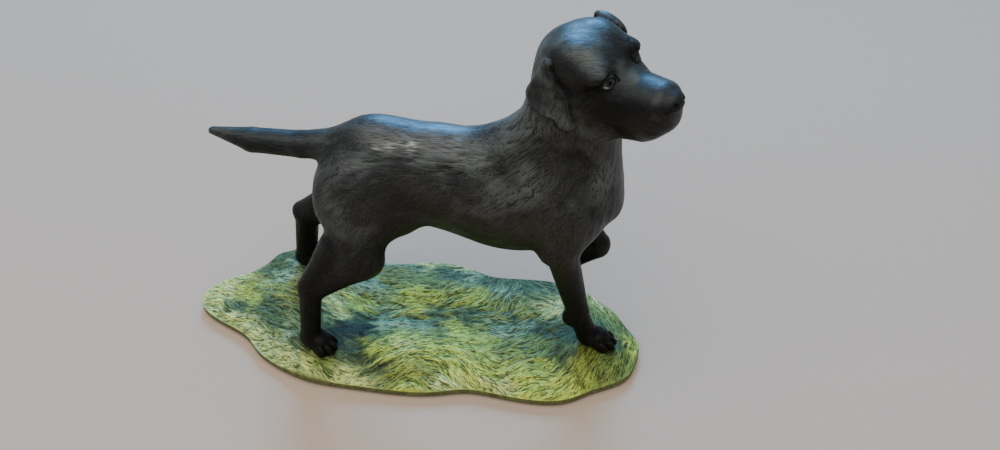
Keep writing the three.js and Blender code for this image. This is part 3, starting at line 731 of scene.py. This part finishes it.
# Where the charcoal is brushed paler (or, below zero, left darker) on the right side; the paler
# spots on the nape, the skull and along the back are partly a painted sheen, and the darker ones
# on the cheek under the ear and below the shoulder partly painted shade.
TONES = (
    ((36, -13, 186), (11, 16, 15), 1.5), ((30, -24, 156), (20, 14, 14), 0.55),
    ((46, -26, 150), (12, 14, 18), 0.35), ((83, -20, 148), (9, 10, 15), 1.3),
    ((-68, -22, 150), (16, 14, 10), 0.45), ((0, -18, 158), (44, 12, 7), 0.45),
    ((-75, -27, 132), (10, 12, 20), 0.3), ((52, -28, 118), (12, 14, 18), -0.6),
    ((-42, -24, 138), (22, 14, 10), -0.5), ((62, -24, 170), (12, 12, 14), -0.4),
    ((28, -5, 178), (12, 14, 9), 0.9), ((60, -27, 197), (7, 10, 6), 0.9),
    ((66, -14, 238), (17, 14, 9), 0.5), ((84, -28, 211), (15, 10, 13), -0.8),
    ((104, -26, 222), (14, 14, 12), -0.5), ((62, -28, 116), (12, 12, 14), -0.5),
)

# The three directions that the fine strands in the paint run along: along the back,
# down and back, and down.
LIE_DIRECTIONS = np.array([[1, 0, 0], [0.66, 0, 0.75], [0, 0, 1]], np.float32)


def face_masks(p):
    """The eyes' wet balls, their pale lower rim, and the nose."""
    q = into_head(p)
    ball_mask = np.zeros(len(p), np.float32)
    pale = np.zeros(len(p), np.float32)
    for side in (-1, 1):
        e = eye_frame(q, side)
        away = np.linalg.norm(e, axis=1)
        on_ball = (away < EYE_RADIUS + 0.12) & (e[:, 0] > 0)
        iris = np.clip(1.2 - np.hypot(e[:, 1], e[:, 2]) / 2.2, 0, 1)
        ball_mask = np.where(on_ball, 0.35 + 0.65 * iris, ball_mask)
        rim = np.exp(-((away - EYE_RADIUS - 0.7) / 0.7) ** 2 - ((e[:, 2] + 1.7) / 0.8) ** 2)
        rim *= np.exp(-((e[:, 1] * side - 1.8) / 1.5) ** 2)
        pale = np.maximum(pale, np.where(on_ball, 0, rim * (e[:, 0] > 0)))
    nose = np.linalg.norm((q - np.array(NOSE_PLACE)) / (8.4, 10, 8), axis=1)
    return ball_mask, pale, np.clip((1.12 - nose) / 0.15, 0, 1)


def detail_levels(p):
    """How often the faces round each point are split: once over the coat, twice at the front
    of the face and at the toes, and three times round the eyes."""
    q = into_head(p)
    coat = (p[:, 2] > 78).astype(int)
    coat[(p[:, 0] < -84) & (p[:, 2] > 130)] = 0
    face = (q[:, 0] > -6) & (np.abs(q[:, 1]) < 40) & (np.abs(q[:, 2]) < 40) & (p[:, 2] > 160)
    level = np.where(face & (q[:, 0] > 4), 2, coat)
    for at, heading, size, pitch in PAWS.values():
        local = (p - np.array(at, np.float32)) @ turned(heading, pitch, 0) / size
        toes = (local[:, 0] > -4) & (np.linalg.norm(local, axis=1) < 22)
        level = np.where(toes, 2, level)
    for side in (-1, 1):
        away = np.linalg.norm(eye_frame(q, side), axis=1)
        level = np.where(away < 8.5, 3, level)
    return level


def make_dog():
    values = sample_form(dog, DOG_LOW, DOG_HIGH, NET_STEP)
    open_pinches(values)
    points, quads = surface_net(values, DOG_LOW, NET_STEP)
    points, _ = onto_form(dog, points.astype(np.float32), 0.3)
    mesh = bpy.data.meshes.new("dog")
    mesh.from_pydata(points, [], quads.tolist())
    for level in (1, 2, 3):
        refined(mesh, detail_levels(points_of(mesh)) >= level)
        points, normals = onto_form(dog, points_of(mesh), 0.15, rounds=1 if level < 3 else 2)
        set_points(mesh, points)
    headings = hair_headings(points, normals)
    carved = carving(points)
    locks = combed(points, headings, LOCKS)
    strands = combed(points + 500, headings, STRANDS)
    patches = noise(points + 900, 16) + 0.6 * noise(points + 700, 7)
    folds = creases(right_side(points), FOLDS)
    wrinkles = creases(right_side(into_head(points)), WRINKLES)
    open_near = openness(dog, points, normals, 2.0)
    open_far = openness(dog, points, normals, 7.0)
    sole = np.clip(points[:, 2] / 2, 0, 1)
    depth = carved * (LOCK_DEPTH * locks + STRAND_DEPTH * strands) - folds - wrinkles
    mesh_points = points + normals * (depth * sole)[:, None]
    mesh_points[:, 2] = np.maximum(mesh_points[:, 2], 0)
    set_points(mesh, (mesh_points + DOG_ORIGIN.astype(np.float32)) * MM)
    add_masks(mesh, "coat", (
        0.5 + 0.17 * (0.8 * locks + 0.6 * strands),
        np.clip(carved, 0, 1.6) / 1.6,
        np.clip(0.5 + 0.5 * normals[:, 2], 0, 1),
    ))
    dabs = noise(points + 1300, 5.5) + 0.7 * noise(points + 1500, 2.6)
    on_head = np.clip((points[:, 2] - 176) / 20, 0.15, 1)
    tone = sum_of_places(right_side(points), TONES) + 0.3 * standard(patches)
    tone += 0.17 * on_head * standard(dabs)
    # How open the space above is, less along the folds and wrinkles: it sets the darkening that is
    # partly a dark wash and partly painted shade.
    free = open_near * 0.6 + open_far * 0.4 - 0.14 * folds - 0.6 * wrinkles
    add_masks(mesh, "form", (
        np.clip(free, 0, 1), sum_of_places(points, SCUFFS), np.clip(0.4 + 0.4 * tone, 0, 1),
    ))
    lies = np.clip((np.abs(headings @ LIE_DIRECTIONS.T) - 0.72) / 0.28, 0, 1)
    add_masks(mesh, "lie", tuple(lies.T))
    add_masks(mesh, "face", face_masks(points))
    mesh.shade_smooth()
    piece = bpy.data.objects.new("labrador", mesh)
    bpy.context.scene.collection.objects.link(piece)
    return piece


# The grass base.

# Bays and headlands of the outline: direction in degrees, how far out as a share of the
# radius, and how wide in degrees.
OUTLINE_WAVES = (
    (-150, -0.15, 20), (-112, 0.03, 9), (-72, -0.08, 9), (-54, 0.12, 11), (-32, 0.07, 14),
    (15, -0.04, 14), (50, 0.05, 9), (70, -0.11, 9), (100, -0.09, 10), (125, 0.17, 10),
    (150, -0.02, 8),
)

# Tussocks and hollows: place as shares of the half length and half width, reach along and
# across, and rise.
TUSSOCKS = (
    ((0.02, -0.52), (40, 14), 3.6), ((0.42, -0.62), (26, 13), 3.0),
    ((-0.3, -0.5), (24, 12), 1.6), ((0.12, 0.42), (46, 12), 3.2),
    ((-0.62, 0.1), (26, 16), 2.4), ((-0.84, -0.02), (20, 18), -1.0),
    ((0.1, -0.06), (44, 11), -3.4), ((-0.22, 0.1), (20, 14), -2.2),
    ((0.7, 0.12), (22, 18), 1.2), ((0.5, 0.74), (30, 9), -2.4),
)


def outline_share(degrees):
    share = np.ones_like(degrees)
    for at, out, wide in OUTLINE_WAVES:
        off = (degrees - at + 540) % 360 - 180
        share += out * np.exp(-(off / wide) ** 2)
    return share


def on_base(u, v, inset=0.0):
    """Square grid place (u and v from -1 to 1) to a place inside the outline."""
    cx = u * np.sqrt(1 - v * v / 2)
    cy = v * np.sqrt(1 - u * u / 2)
    share = outline_share(np.degrees(np.arctan2(cy, cx)))
    x = cx * share * (BASE_LENGTH / 2 - inset)
    y = cy * share * (BASE_WIDTH / 2 - inset)
    return x, y, np.hypot(cx, cy)


def near_paws(x, y):
    """For each standing paw, how far off it is and how level the ground: 1 under it."""
    for name in ("near_hind", "far_hind", "near_fore"):
        at = np.array(PAWS[name][0]) + DOG_ORIGIN
        away = np.hypot(x - at[0], y - at[1])
        t = np.clip((away - PAD_RADIUS) / PAD_SLOPE, 0, 1)
        yield away, 1 - t * t * (3 - 2 * t)


def ground_at(x, y, out):
    """Height of the ground: it falls towards the rim, swells in tussocks, and is level
    under each standing paw."""
    fall = out ** 4
    height = GROUND_HEIGHT + (RIM_HEIGHT - GROUND_HEIGHT) * fall
    for at, reach, rise in TUSSOCKS:
        dx = (x - at[0] * BASE_LENGTH / 2) / reach[0]
        dy = (y - at[1] * BASE_WIDTH / 2) / reach[1]
        height = height + rise * np.exp(-dx * dx - dy * dy) * (1 - 0.6 * fall)
    for away, level in near_paws(x, y):
        height += (GROUND_HEIGHT - height) * level
        height = np.minimum(height, GROUND_HEIGHT + np.maximum(0, away - PAD_RADIUS - 12) * 0.4)
    return height


# Where the grass lies which way on the base: place, heading in degrees and reach.
GRASS = (
    ((-130, 0), -8, 30), ((-90, 25), -15, 26), ((-90, -20), -18, 26),
    ((-55, -30), -30, 24), ((-60, 10), -20, 24), ((-10, -44), 38, 20),
    ((-18, -22), 30, 18), ((20, -48), -25, 20), ((50, -42), -35, 20),
    ((75, -30), 30, 18), ((40, -10), 5, 20), ((10, 10), 20, 20),
    ((20, 32), 30, 18), ((60, 30), 70, 16), ((90, 5), 40, 18),
    ((120, -15), 65, 20), ((130, 20), 110, 20), ((90, 38), 150, 18),
    ((-20, 42), 10, 20), ((-90, 48), -40, 16),
)


def grass_headings(p):
    anchors = []
    for place, degrees, reach in GRASS:
        doubled = math.radians(2 * degrees)
        anchors.append((place, (math.cos(doubled), math.sin(doubled)), reach))
    doubled = flow(p, anchors, 2)
    angle = np.arctan2(doubled[:, 1], doubled[:, 0]) / 2
    angle += 0.9 * (noise(p + 80, 12) - 0.5) + 0.35 * (noise(p + 160, 4) - 0.5)
    return np.stack([np.cos(angle), np.sin(angle), np.zeros(len(p))], -1).astype(np.float32)


# The paints of the grass, and where each is brushed on: place and reach. The dark and deep
# paints round the paws and under the dog are partly painted shadow of the dog.
PAINTS = {
    "pale": (0.72, 0.82, 0.25), "yellow": (0.62, 0.74, 0.1), "olive": (0.29, 0.34, 0.055),
    "green": (0.21, 0.3, 0.055), "dark": (0.07, 0.11, 0.03), "teal": (0.095, 0.17, 0.062),
    "sky": (0.3, 0.46, 0.24), "deep": (0.014, 0.03, 0.011),
}
BRUSHED = {
    "pale": (
        (-145, 25, 10), (-144, 5, 10), (-125, -20, 9), (-104, -31, 9), (-82, -45, 9), (-64, -57, 8),
        (-29, -60, 8), (-56, 2, 7), (125, 37, 8), (34, -56, 8), (67, -50, 8), (94, 20, 6),
        (26, 57, 6), (0, 56, 6), (-5, -27, 6),
    ),
    "yellow": (
        (-45, 8, 7), (-15, -29, 8), (-5, -23, 7), (11, 17, 7), (0, 10, 6), (38, 21, 6), (36, -8, 7),
        (15, -28, 8), (38, -36, 10), (50, -25, 7), (99, -38, 9), (87, -48, 9), (93, -60, 8),
        (6, -60, 8), (-126, 9, 7), (152, -4, 5), (62, -40, 9), (112, -38, 8), (113, -50, 8),
    ),
    "olive": (
        (-25, 40, 9), (25, 27, 8), (66, 16, 8), (80, 15, 7), (66, -26, 8), (-4, -50, 7),
        (17, -50, 6), (139, -41, 8), (122, -28, 6), (-122, 20, 6), (-94, 13, 7), (58, 18, 6),
    ),
    "green": (
        (-23, -24, 5), (21, -15, 6), (88, -17, 7), (4, 36, 7), (122, 27, 7), (138, 7, 7),
        (145, 17, 6), (138, -27, 7), (151, -15, 5), (-56, -48, 6),
    ),
    # Round the near fore paw and under the dog these are partly painted shadow.
    "dark": (
        (-33, -41, 6), (-20, -51, 5), (90, 0, 6), (107, -1, 8), (-38, -6, 6), (103, -23, 7),
        (129, 3, 7), (144, -9, 6), (-74, -32, 7), (72, 3, 5),
    ),
    "teal": (
        (-102, 53, 9), (-111, 41, 8), (-131, -6, 7), (-106, -7, 9), (-96, -20, 6),
        (18, 45, 8), (53, 40, 9), (80, 38, 8), (17, 5, 6), (40, 4, 7), (-70, -10, 7), (-60, -22, 6),
        (-72, 44, 9),
    ),
    "sky": (
        (-38, 24, 7), (-10, 54, 7), (-20, -8, 6), (-4, -6, 6), (61, 28, 6), (4, -7, 5),
        (60, -3, 6), (76, 1, 5), (-96, 44, 5), (-98, 27, 7), (-82, -26, 6), (13, -2, 6),
        (29, 44, 8), (-27, 51, 6), (56, 33, 5),
    ),
    # Under the near hind leg: painted shadow.
    "deep": ((-46, -20, 7), (-33, -18, 5), (-56, -30, 6)),
}


def brushed_color(p):
    """The ground's colour under the strokes: the nearest paints, blended wet in wet."""
    total = np.zeros((len(p), 3), np.float32)
    weights = np.full(len(p), 1e-4, np.float32)
    for name, places in BRUSHED.items():
        color = np.array(PAINTS[name], np.float32)
        for x, y, reach in places:
            away2 = ((p[:, 0] - x) ** 2 + (p[:, 1] - y) ** 2) / reach ** 2
            weight = 1 / (0.4 + away2) ** 2.5
            total += color * weight[:, None]
            weights += weight
    return total / weights[:, None]


def make_grass():
    columns, rows = GRASS_COLUMNS, GRASS_ROWS
    i, j = np.meshgrid(np.arange(columns + 1), np.arange(rows + 1), indexing="ij")
    x, y, out = on_base(2.0 * i / columns - 1, 2.0 * j / rows - 1)
    x, y, out = x.ravel(), y.ravel(), out.ravel()
    flat = np.stack([x, y, np.zeros(len(x))], -1).astype(np.float32)
    headings = grass_headings(flat)
    tufts = combed(flat, headings, TUFTS)
    blades = combed(flat + 200, headings, BLADES)
    level = np.max([share for _, share in near_paws(x, y)], axis=0)
    rim = np.clip((1 - out) / 0.02, 0, 1)
    height = ground_at(x, y, out)
    height += (1 - 0.8 * level) * rim * (TUFT_RISE * tufts + BLADE_RISE * blades)
    height = np.minimum(height, np.where(level > 0.6, GROUND_HEIGHT + 0.15, 99))
    points = np.stack([x, y, height], -1)
    number = np.arange(len(points)).reshape(columns + 1, rows + 1)
    quads = np.stack([number[:-1, :-1], number[1:, :-1], number[1:, 1:], number[:-1, 1:]], -1)
    faces = quads.reshape(-1, 4).tolist()
    ring = [(n, 0) for n in range(columns)]
    ring += [(columns, n) for n in range(rows)]
    ring += [(n, rows) for n in range(columns, 0, -1)]
    ring += [(0, n) for n in range(rows, 0, -1)]
    ring = np.array(ring)
    u, v = 2.0 * ring[:, 0] / columns - 1, 2.0 * ring[:, 1] / rows - 1
    rings = [number[ring[:, 0], ring[:, 1]]]
    for inset, rise in ((0.4, 5.5), (0.2, 4.2), (0.0, FOOT_HEIGHT), (FOOT_INSET, 0.0)):
        rx, ry, _ = on_base(u, v, inset)
        rings.append(np.arange(len(points), len(points) + len(rx)))
        points = np.concatenate([points, np.stack([rx, ry, np.full(len(rx), rise)], -1)])
    for upper, lower in zip(rings, rings[1:]):
        band = np.stack([upper, lower, np.roll(lower, -1), np.roll(upper, -1)], -1)
        faces += band.tolist()
    faces.append(rings[-1][::-1].tolist())
    mesh = bpy.data.meshes.new("grass")
    mesh.from_pydata(points * MM, [], faces)

    def with_rim(values, at_rim):
        """The top's values followed by one value for all the points of the side."""
        shape = (len(points) - len(values), *values.shape[1:])
        return np.concatenate([values, np.broadcast_to(np.array(at_rim, np.float32), shape)])

    dragged = flat + headings * (3.2 * tufts + 1.6 * blades)[:, None]
    dragged[:, 1] += 7 * (noise(flat + 30, 8) - 0.5)
    color = with_rim(brushed_color(dragged), (0.17, 0.19, 0.06))
    add_masks(mesh, "ground", tuple(color.T))
    angle = np.arctan2(headings[:, 1], headings[:, 0]) / math.pi + 0.5
    add_masks(mesh, "blades", (
        with_rim(np.clip(0.5 + 0.16 * tufts, 0, 1), 0.4),
        with_rim(np.clip(0.5 + 0.16 * blades, 0, 1), 0.4),
        with_rim(np.clip(angle, 0, 1), 0.5),
    ))
    add_masks(mesh, "place", (with_rim(rim, 0.0),))
    mesh.shade_smooth()
    piece = bpy.data.objects.new("grass", mesh)
    bpy.context.scene.collection.objects.link(piece)
    return piece


# Materials.

def shader(name):
    """A new material, its node tree and the shader in it."""
    material = bpy.data.materials.new(name)
    material.use_nodes = True
    tree = material.node_tree
    return material, tree, tree.nodes["Principled BSDF"]


def feed(tree, socket, value):
    """Gives the socket a value: the output of a node, a colour or a number."""
    if isinstance(value, bpy.types.NodeSocket):
        tree.links.new(value, socket)
    elif socket.type == "RGBA":
        socket.default_value = (*value, 1)
    else:
        socket.default_value = value


def masks(tree, name):
    """The three masks that this colour attribute of the mesh carries."""
    attribute = tree.nodes.new("ShaderNodeAttribute")
    attribute.attribute_name = name
    return parts(tree, attribute.outputs["Color"])


def parts(tree, color):
    """The red, green and blue of a colour."""
    split = tree.nodes.new("ShaderNodeSeparateColor")
    tree.links.new(color, split.inputs["Color"])
    return split.outputs


def place_of(tree):
    """The place of a point in the object's own frame, in metres."""
    return tree.nodes.new("ShaderNodeTexCoord").outputs["Object"]


def ramp(tree, source, stops):
    """A colour looked up in the stops, each a place from 0 to 1 and its colour."""
    node = tree.nodes.new("ShaderNodeValToRGB")
    while len(node.color_ramp.elements) < len(stops):
        node.color_ramp.elements.new(0.5)
    for element, (place, color) in zip(node.color_ramp.elements, stops):
        element.position = place
        element.color = (*color, 1)
    tree.links.new(source, node.inputs["Fac"])
    return node.outputs["Color"]


def mixed(tree, share, a, b, blend="MIX"):
    """A colour between a and b, which may be colours or the outputs of nodes."""
    node = tree.nodes.new("ShaderNodeMix")
    node.data_type = "RGBA"
    node.blend_type = blend
    for name, value in (("Factor_Float", share), ("A_Color", a), ("B_Color", b)):
        feed(tree, next(i for i in node.inputs if i.identifier == name), value)
    return next(o for o in node.outputs if o.identifier == "Result_Color")


def calculated(tree, operation, *values, kind="ShaderNodeMath"):
    """The outcome of one step of arithmetic on numbers or the outputs of nodes."""
    node = tree.nodes.new(kind)
    node.operation = operation
    for socket, value in zip(node.inputs, values):
        feed(tree, socket, value)
    return node.outputs[0]


def vectors(tree, operation, *values):
    """The same on vectors."""
    return calculated(tree, operation, *values, kind="ShaderNodeVectorMath")


def product(tree, first, *others):
    """The numbers multiplied by each other in turn."""
    for other in others:
        first = calculated(tree, "MULTIPLY", first, other)
    return first


def levels(tree, source, low, high, to_low=0.0, to_high=1.0):
    """The source stretched from low..high to another range, and held inside it."""
    node = tree.nodes.new("ShaderNodeMapRange")
    tree.links.new(source, node.inputs["Value"])
    ends = {"From Min": low, "From Max": high, "To Min": to_low, "To Max": to_high}
    for socket, value in ends.items():
        node.inputs[socket].default_value = value
    return node.outputs["Result"]


def noise_over(tree, place, detail):
    """Noise with its grain 1 wide, over a place that was made larger or smaller for it."""
    texture = tree.nodes.new("ShaderNodeTexNoise")
    texture.inputs["Scale"].default_value = 1.0
    texture.inputs["Detail"].default_value = detail
    tree.links.new(place, texture.inputs["Vector"])
    return texture.outputs["Fac"]


def strokes(tree, turn, along, across, detail=2.0):
    """Noise in streaks: turned about Y by this many degrees, with these sizes in mm."""
    mapping = tree.nodes.new("ShaderNodeMapping")
    mapping.vector_type = "TEXTURE"
    mapping.inputs["Rotation"].default_value = (0, math.radians(turn), 0)
    mapping.inputs["Scale"].default_value = (along * MM, across * MM, across * MM)
    tree.links.new(place_of(tree), mapping.inputs["Vector"])
    return noise_over(tree, mapping.outputs["Vector"], detail)


def add_bump(tree, surface, height, depth):
    """Lets the height, 0 to 1, stand this many millimetres above the surface."""
    bump = tree.nodes.new("ShaderNodeBump")
    bump.inputs["Strength"].default_value = 1.0
    bump.inputs["Distance"].default_value = depth * MM
    tree.links.new(height, bump.inputs["Height"])
    tree.links.new(bump.outputs["Normal"], surface.inputs["Normal"])


# The dog's paints: the coat from underside to back, its paler top partly a painted sheen, the
# eye from its edge to the pupil, and each coat that goes over them.
BODY_PAINTS_AND_SHEEN = (
    (0.0, (0.0125, 0.0085, 0.0046)), (0.42, (0.0095, 0.0085, 0.0066)),
    (0.62, (0.0105, 0.0117, 0.0108)), (1.0, (0.021, 0.0275, 0.0265)),
)
IRIS_PAINTS = (
    (0.35, (0.07, 0.07, 0.066)), (0.45, (0.045, 0.045, 0.042)),
    (0.7, (0.026, 0.025, 0.022)), (0.85, (0.004, 0.004, 0.004)),
)
LOW_DOWN_COLOR = (0.0062, 0.0056, 0.0042)
PALE_PAINT_AND_SHEEN = (0.078, 0.092, 0.083)
DEEP_PAINT_AND_SHADE = (0.006, 0.0062, 0.006)
DRY_BRUSH_AND_SHEEN = (0.085, 0.098, 0.088)
GROOVE_PAINT_AND_SHADE = (0.005, 0.005, 0.0045)
SCUFF_PAINT = (0.3, 0.32, 0.28)
WASH_AND_SHADE_PAINT = (0.004, 0.0038, 0.0034)
NOSE_PAINT = (0.009, 0.0088, 0.0088)
LID_PAINT = (0.5, 0.5, 0.46)


def dog_paint():
    """Charcoal paint: brown-black below, grey-green above, dry-brushed over the hair and
    washed dark in the crevices; glossy eyes. The paler top and the heavier dry brush on upward
    faces are partly a painted sheen, and the darkening in the crevices and the hair's grooves is
    partly painted shade."""
    material, tree, surface = shader("dog_paint")
    streak, carved, up = masks(tree, "coat")
    free, scuffs, tone = masks(tree, "form")
    along, slanting, down = masks(tree, "lie")
    eyeball, pale_rim, nose = masks(tree, "face")

    hair = 0.5
    for turn, share in ((0, along), (-48.6, slanting), (-90, down)):
        part = calculated(tree, "SUBTRACT", strokes(tree, turn, 8.5, 0.6), 0.5)
        hair = calculated(tree, "MULTIPLY_ADD", part, share, hair)

    xyz = tree.nodes.new("ShaderNodeSeparateXYZ")
    tree.links.new(place_of(tree), xyz.inputs[0])
    # Darker towards the soles, from 150 mm down to 50 mm above the floor.
    high = levels(tree, xyz.outputs["Z"], 0.05, 0.15)
    # Brown-black below and paler grey-green on upward faces: the paler top is partly a painted
    # sheen.
    color = mixed(tree, high, LOW_DOWN_COLOR, ramp(tree, up, BODY_PAINTS_AND_SHEEN))
    # Paler and darker spots of the tone: paint, partly painted sheen and painted shade.
    pale = product(tree, levels(tree, tone, 0.4, 0.85), high)
    color = mixed(tree, pale, color, PALE_PAINT_AND_SHEEN)
    deep = levels(tree, tone, 0.4, 0.1, 0.0, 0.6)
    color = mixed(tree, deep, color, DEEP_PAINT_AND_SHADE)

    # Dry brush over the raised strands, heavier on upward faces, where it is partly a painted
    # sheen.
    streaks = calculated(tree, "MULTIPLY_ADD", hair, 1.3, product(tree, streak, 0.55))
    top_sheen = levels(tree, up, 0.36, 0.82, 0.06, 0.56)
    raised = calculated(tree, "MULTIPLY_ADD", carved, 0.75, 0.25)
    brushed = product(tree, raised, top_sheen, levels(tree, streaks, 0.98, 1.3))
    color = mixed(tree, brushed, color, DRY_BRUSH_AND_SHEEN)
    # Darker along the hair's grooves, more where the hair is carved deeper: partly painted shade.
    groove_shade = levels(tree, streaks, 0.93, 0.74)
    groove_shade = product(tree, groove_shade, levels(tree, carved, 0.1, 0.6, 0.35, 0.95))
    color = mixed(tree, groove_shade, color, GROOVE_PAINT_AND_SHADE)
    scuffed = product(tree, scuffs, levels(tree, hair, 0.4, 0.6))
    color = mixed(tree, scuffed, color, SCUFF_PAINT)
    # Darkened where the space above is closed, in crevices, folds and wrinkles: partly a dark wash,
    # partly painted shade. The shine is lowered there too.
    wash_and_shade = levels(tree, free, 0.5, 0.9)
    color = mixed(tree, wash_and_shade, WASH_AND_SHADE_PAINT, color)
    color = mixed(tree, nose, color, NOSE_PAINT)
    wet = levels(tree, eyeball, 0.1, 0.3)
    color = mixed(tree, wet, color, ramp(tree, eyeball, IRIS_PAINTS))
    color = mixed(tree, pale_rim, color, LID_PAINT)
    tree.links.new(color, surface.inputs["Base Color"])

    rough = levels(tree, streak, 0.2, 0.8, 0.34, 0.5)
    rough = calculated(tree, "SUBTRACT", rough, product(tree, wet, 0.3))
    rough = calculated(tree, "MULTIPLY_ADD", nose, 0.08, rough)
    tree.links.new(rough, surface.inputs["Roughness"])
    shine = product(
        tree, levels(tree, high, 0.0, 1.0, 0.2, 0.46), levels(tree, wash_and_shade, 0, 1, 0.3, 1),
        levels(tree, carved, 0.03, 0.4, 0.45, 1.5), levels(tree, up, 0.1, 0.9, 0.3, 1.0),
        levels(tree, hair, 0.38, 0.58, 0.7, 1.15),
    )
    tree.links.new(shine, surface.inputs["Specular IOR Level"])

    height = product(tree, hair, levels(tree, carved, 0.05, 0.6, 0.8, 1.6))
    height = calculated(tree, "ADD", height, strokes(tree, -30, 3.4, 2.2, 3.0))
    height = product(tree, height, calculated(tree, "SUBTRACT", 1.0, wet))
    add_bump(tree, surface, height, 0.13)
    return material


def tuft_strokes(tree, angle, tuft, along, across, seed):
    """Short strokes that lie along the angle, each tuft's a little askew of the next."""
    flat = vectors(tree, "MULTIPLY_ADD", place_of(tree), (1, 1, 0), (seed * MM, 0, 0))
    cells = tree.nodes.new("ShaderNodeTexVoronoi")
    cells.inputs["Scale"].default_value = 1 / (tuft * MM)
    tree.links.new(flat, cells.inputs["Vector"])
    askew = levels(tree, parts(tree, cells.outputs["Color"])[0], 0, 1, -0.2, 0.2)
    turn = calculated(tree, "MULTIPLY_ADD", angle, -math.pi, math.pi / 2)
    spin = tree.nodes.new("ShaderNodeVectorRotate")
    spin.rotation_type = "Z_AXIS"
    local = vectors(tree, "SUBTRACT", flat, cells.outputs["Position"])
    tree.links.new(local, spin.inputs["Vector"])
    tree.links.new(calculated(tree, "ADD", turn, askew), spin.inputs["Angle"])
    apart = vectors(tree, "MULTIPLY", cells.outputs["Color"], (60, 60, 60))
    size = (1 / (along * MM), 1 / (across * MM), 1)
    sized = vectors(tree, "MULTIPLY_ADD", spin.outputs["Vector"], size, apart)
    return noise_over(tree, sized, 1.5)


# The grass's tints: lighter along the blades, shaded between them, and dark at the root.
TIP_TINT = (1.55, 1.5, 1.35)
SHADE_TINT = (0.30, 0.42, 0.38)
ROOT_PAINT = (0.012, 0.016, 0.008)


def grass_paint():
    """Patches of yellow-green, green and blue-green, with short dark strokes between the
    blades and paler ones along them."""
    material, tree, surface = shader("grass_paint")
    ground = tree.nodes.new("ShaderNodeAttribute")
    ground.attribute_name = "ground"
    tufts, blades, angle = masks(tree, "blades")
    top, _, _ = masks(tree, "place")
    fine = tuft_strokes(tree, angle, 7.0, 5.6, 0.46, 0)
    bold = tuft_strokes(tree, angle, 9.0, 7.5, 0.7, 300)

    light = levels(tree, fine, 0.5, 0.66)
    light = product(tree, light, levels(tree, blades, 0.3, 0.75, 0.1, 0.5))
    lifted = mixed(tree, 1.0, ground.outputs["Color"], TIP_TINT, "MULTIPLY")
    color = mixed(tree, light, ground.outputs["Color"], lifted)
    shade = levels(tree, blades, 0.18, 0.55, 0.75, 0.0)
    hollow = levels(tree, tufts, 0.1, 0.5, 0.65, 0.0)
    shade = calculated(tree, "MAXIMUM", shade, hollow)
    shaded = mixed(tree, 1.0, ground.outputs["Color"], SHADE_TINT, "MULTIPLY")
    color = mixed(tree, shade, color, shaded)
    near_dark = product(tree, blades, 0.1)
    dark = levels(tree, calculated(tree, "ADD", fine, near_dark), 0.515, 0.45)
    dark_bold = levels(tree, calculated(tree, "ADD", bold, near_dark), 0.47, 0.42)
    dark = calculated(tree, "MAXIMUM", dark, dark_bold)
    dark = product(tree, dark, levels(tree, top, 0, 1, 0.35, 0.88))
    color = mixed(tree, dark, color, ROOT_PAINT)
    tree.links.new(color, surface.inputs["Base Color"])
    tree.links.new(levels(tree, fine, 0.3, 0.7, 0.72, 0.5), surface.inputs["Roughness"])
    surface.inputs["Specular IOR Level"].default_value = 0.35
    add_bump(tree, surface, calculated(tree, "SUBTRACT", fine, product(tree, dark, 0.5)), 0.35)
    return material


# The floor and the light.

def make_floor():
    bpy.ops.mesh.primitive_plane_add(size=12, location=(0, 0, 0))
    floor = bpy.context.object
    floor.name = "floor"
    material, _, surface = shader("floor_paper")
    surface.inputs["Base Color"].default_value = FLOOR_COLOR
    surface.inputs["Roughness"].default_value = 0.9
    floor.data.materials.append(material)


def add_softbox(name, azimuth, elevation, distance, size, power, color):
    """An area light that looks at the middle of the figurine."""
    lamp = bpy.data.lights.new(name, "AREA")
    lamp.shape = "DISK"
    lamp.size = size
    lamp.energy = power
    lamp.color = color
    light = bpy.data.objects.new(name, lamp)
    bpy.context.scene.collection.objects.link(light)
    away = direction(azimuth, elevation)
    light.location = Vector((0, 0, 0.1)) + away * distance
    light.rotation_euler = away.to_track_quat("Z", "Y").to_euler()


def light_scene():
    world = bpy.data.worlds.new("studio")
    bpy.context.scene.world = world
    world.use_nodes = True
    background = world.node_tree.nodes["Background"]
    background.inputs["Color"].default_value = SKY_COLOR
    background.inputs["Strength"].default_value = SKY_STRENGTH
    for softbox in SOFTBOXES:
        add_softbox(*softbox)


make_camera()
labrador = make_dog()
labrador.data.materials.append(dog_paint())
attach(labrador, "root")
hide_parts("dog_figure")

grass = make_grass()
grass.data.materials.append(grass_paint())
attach(grass, "root")
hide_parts("grass_base")

make_floor()
light_scene()
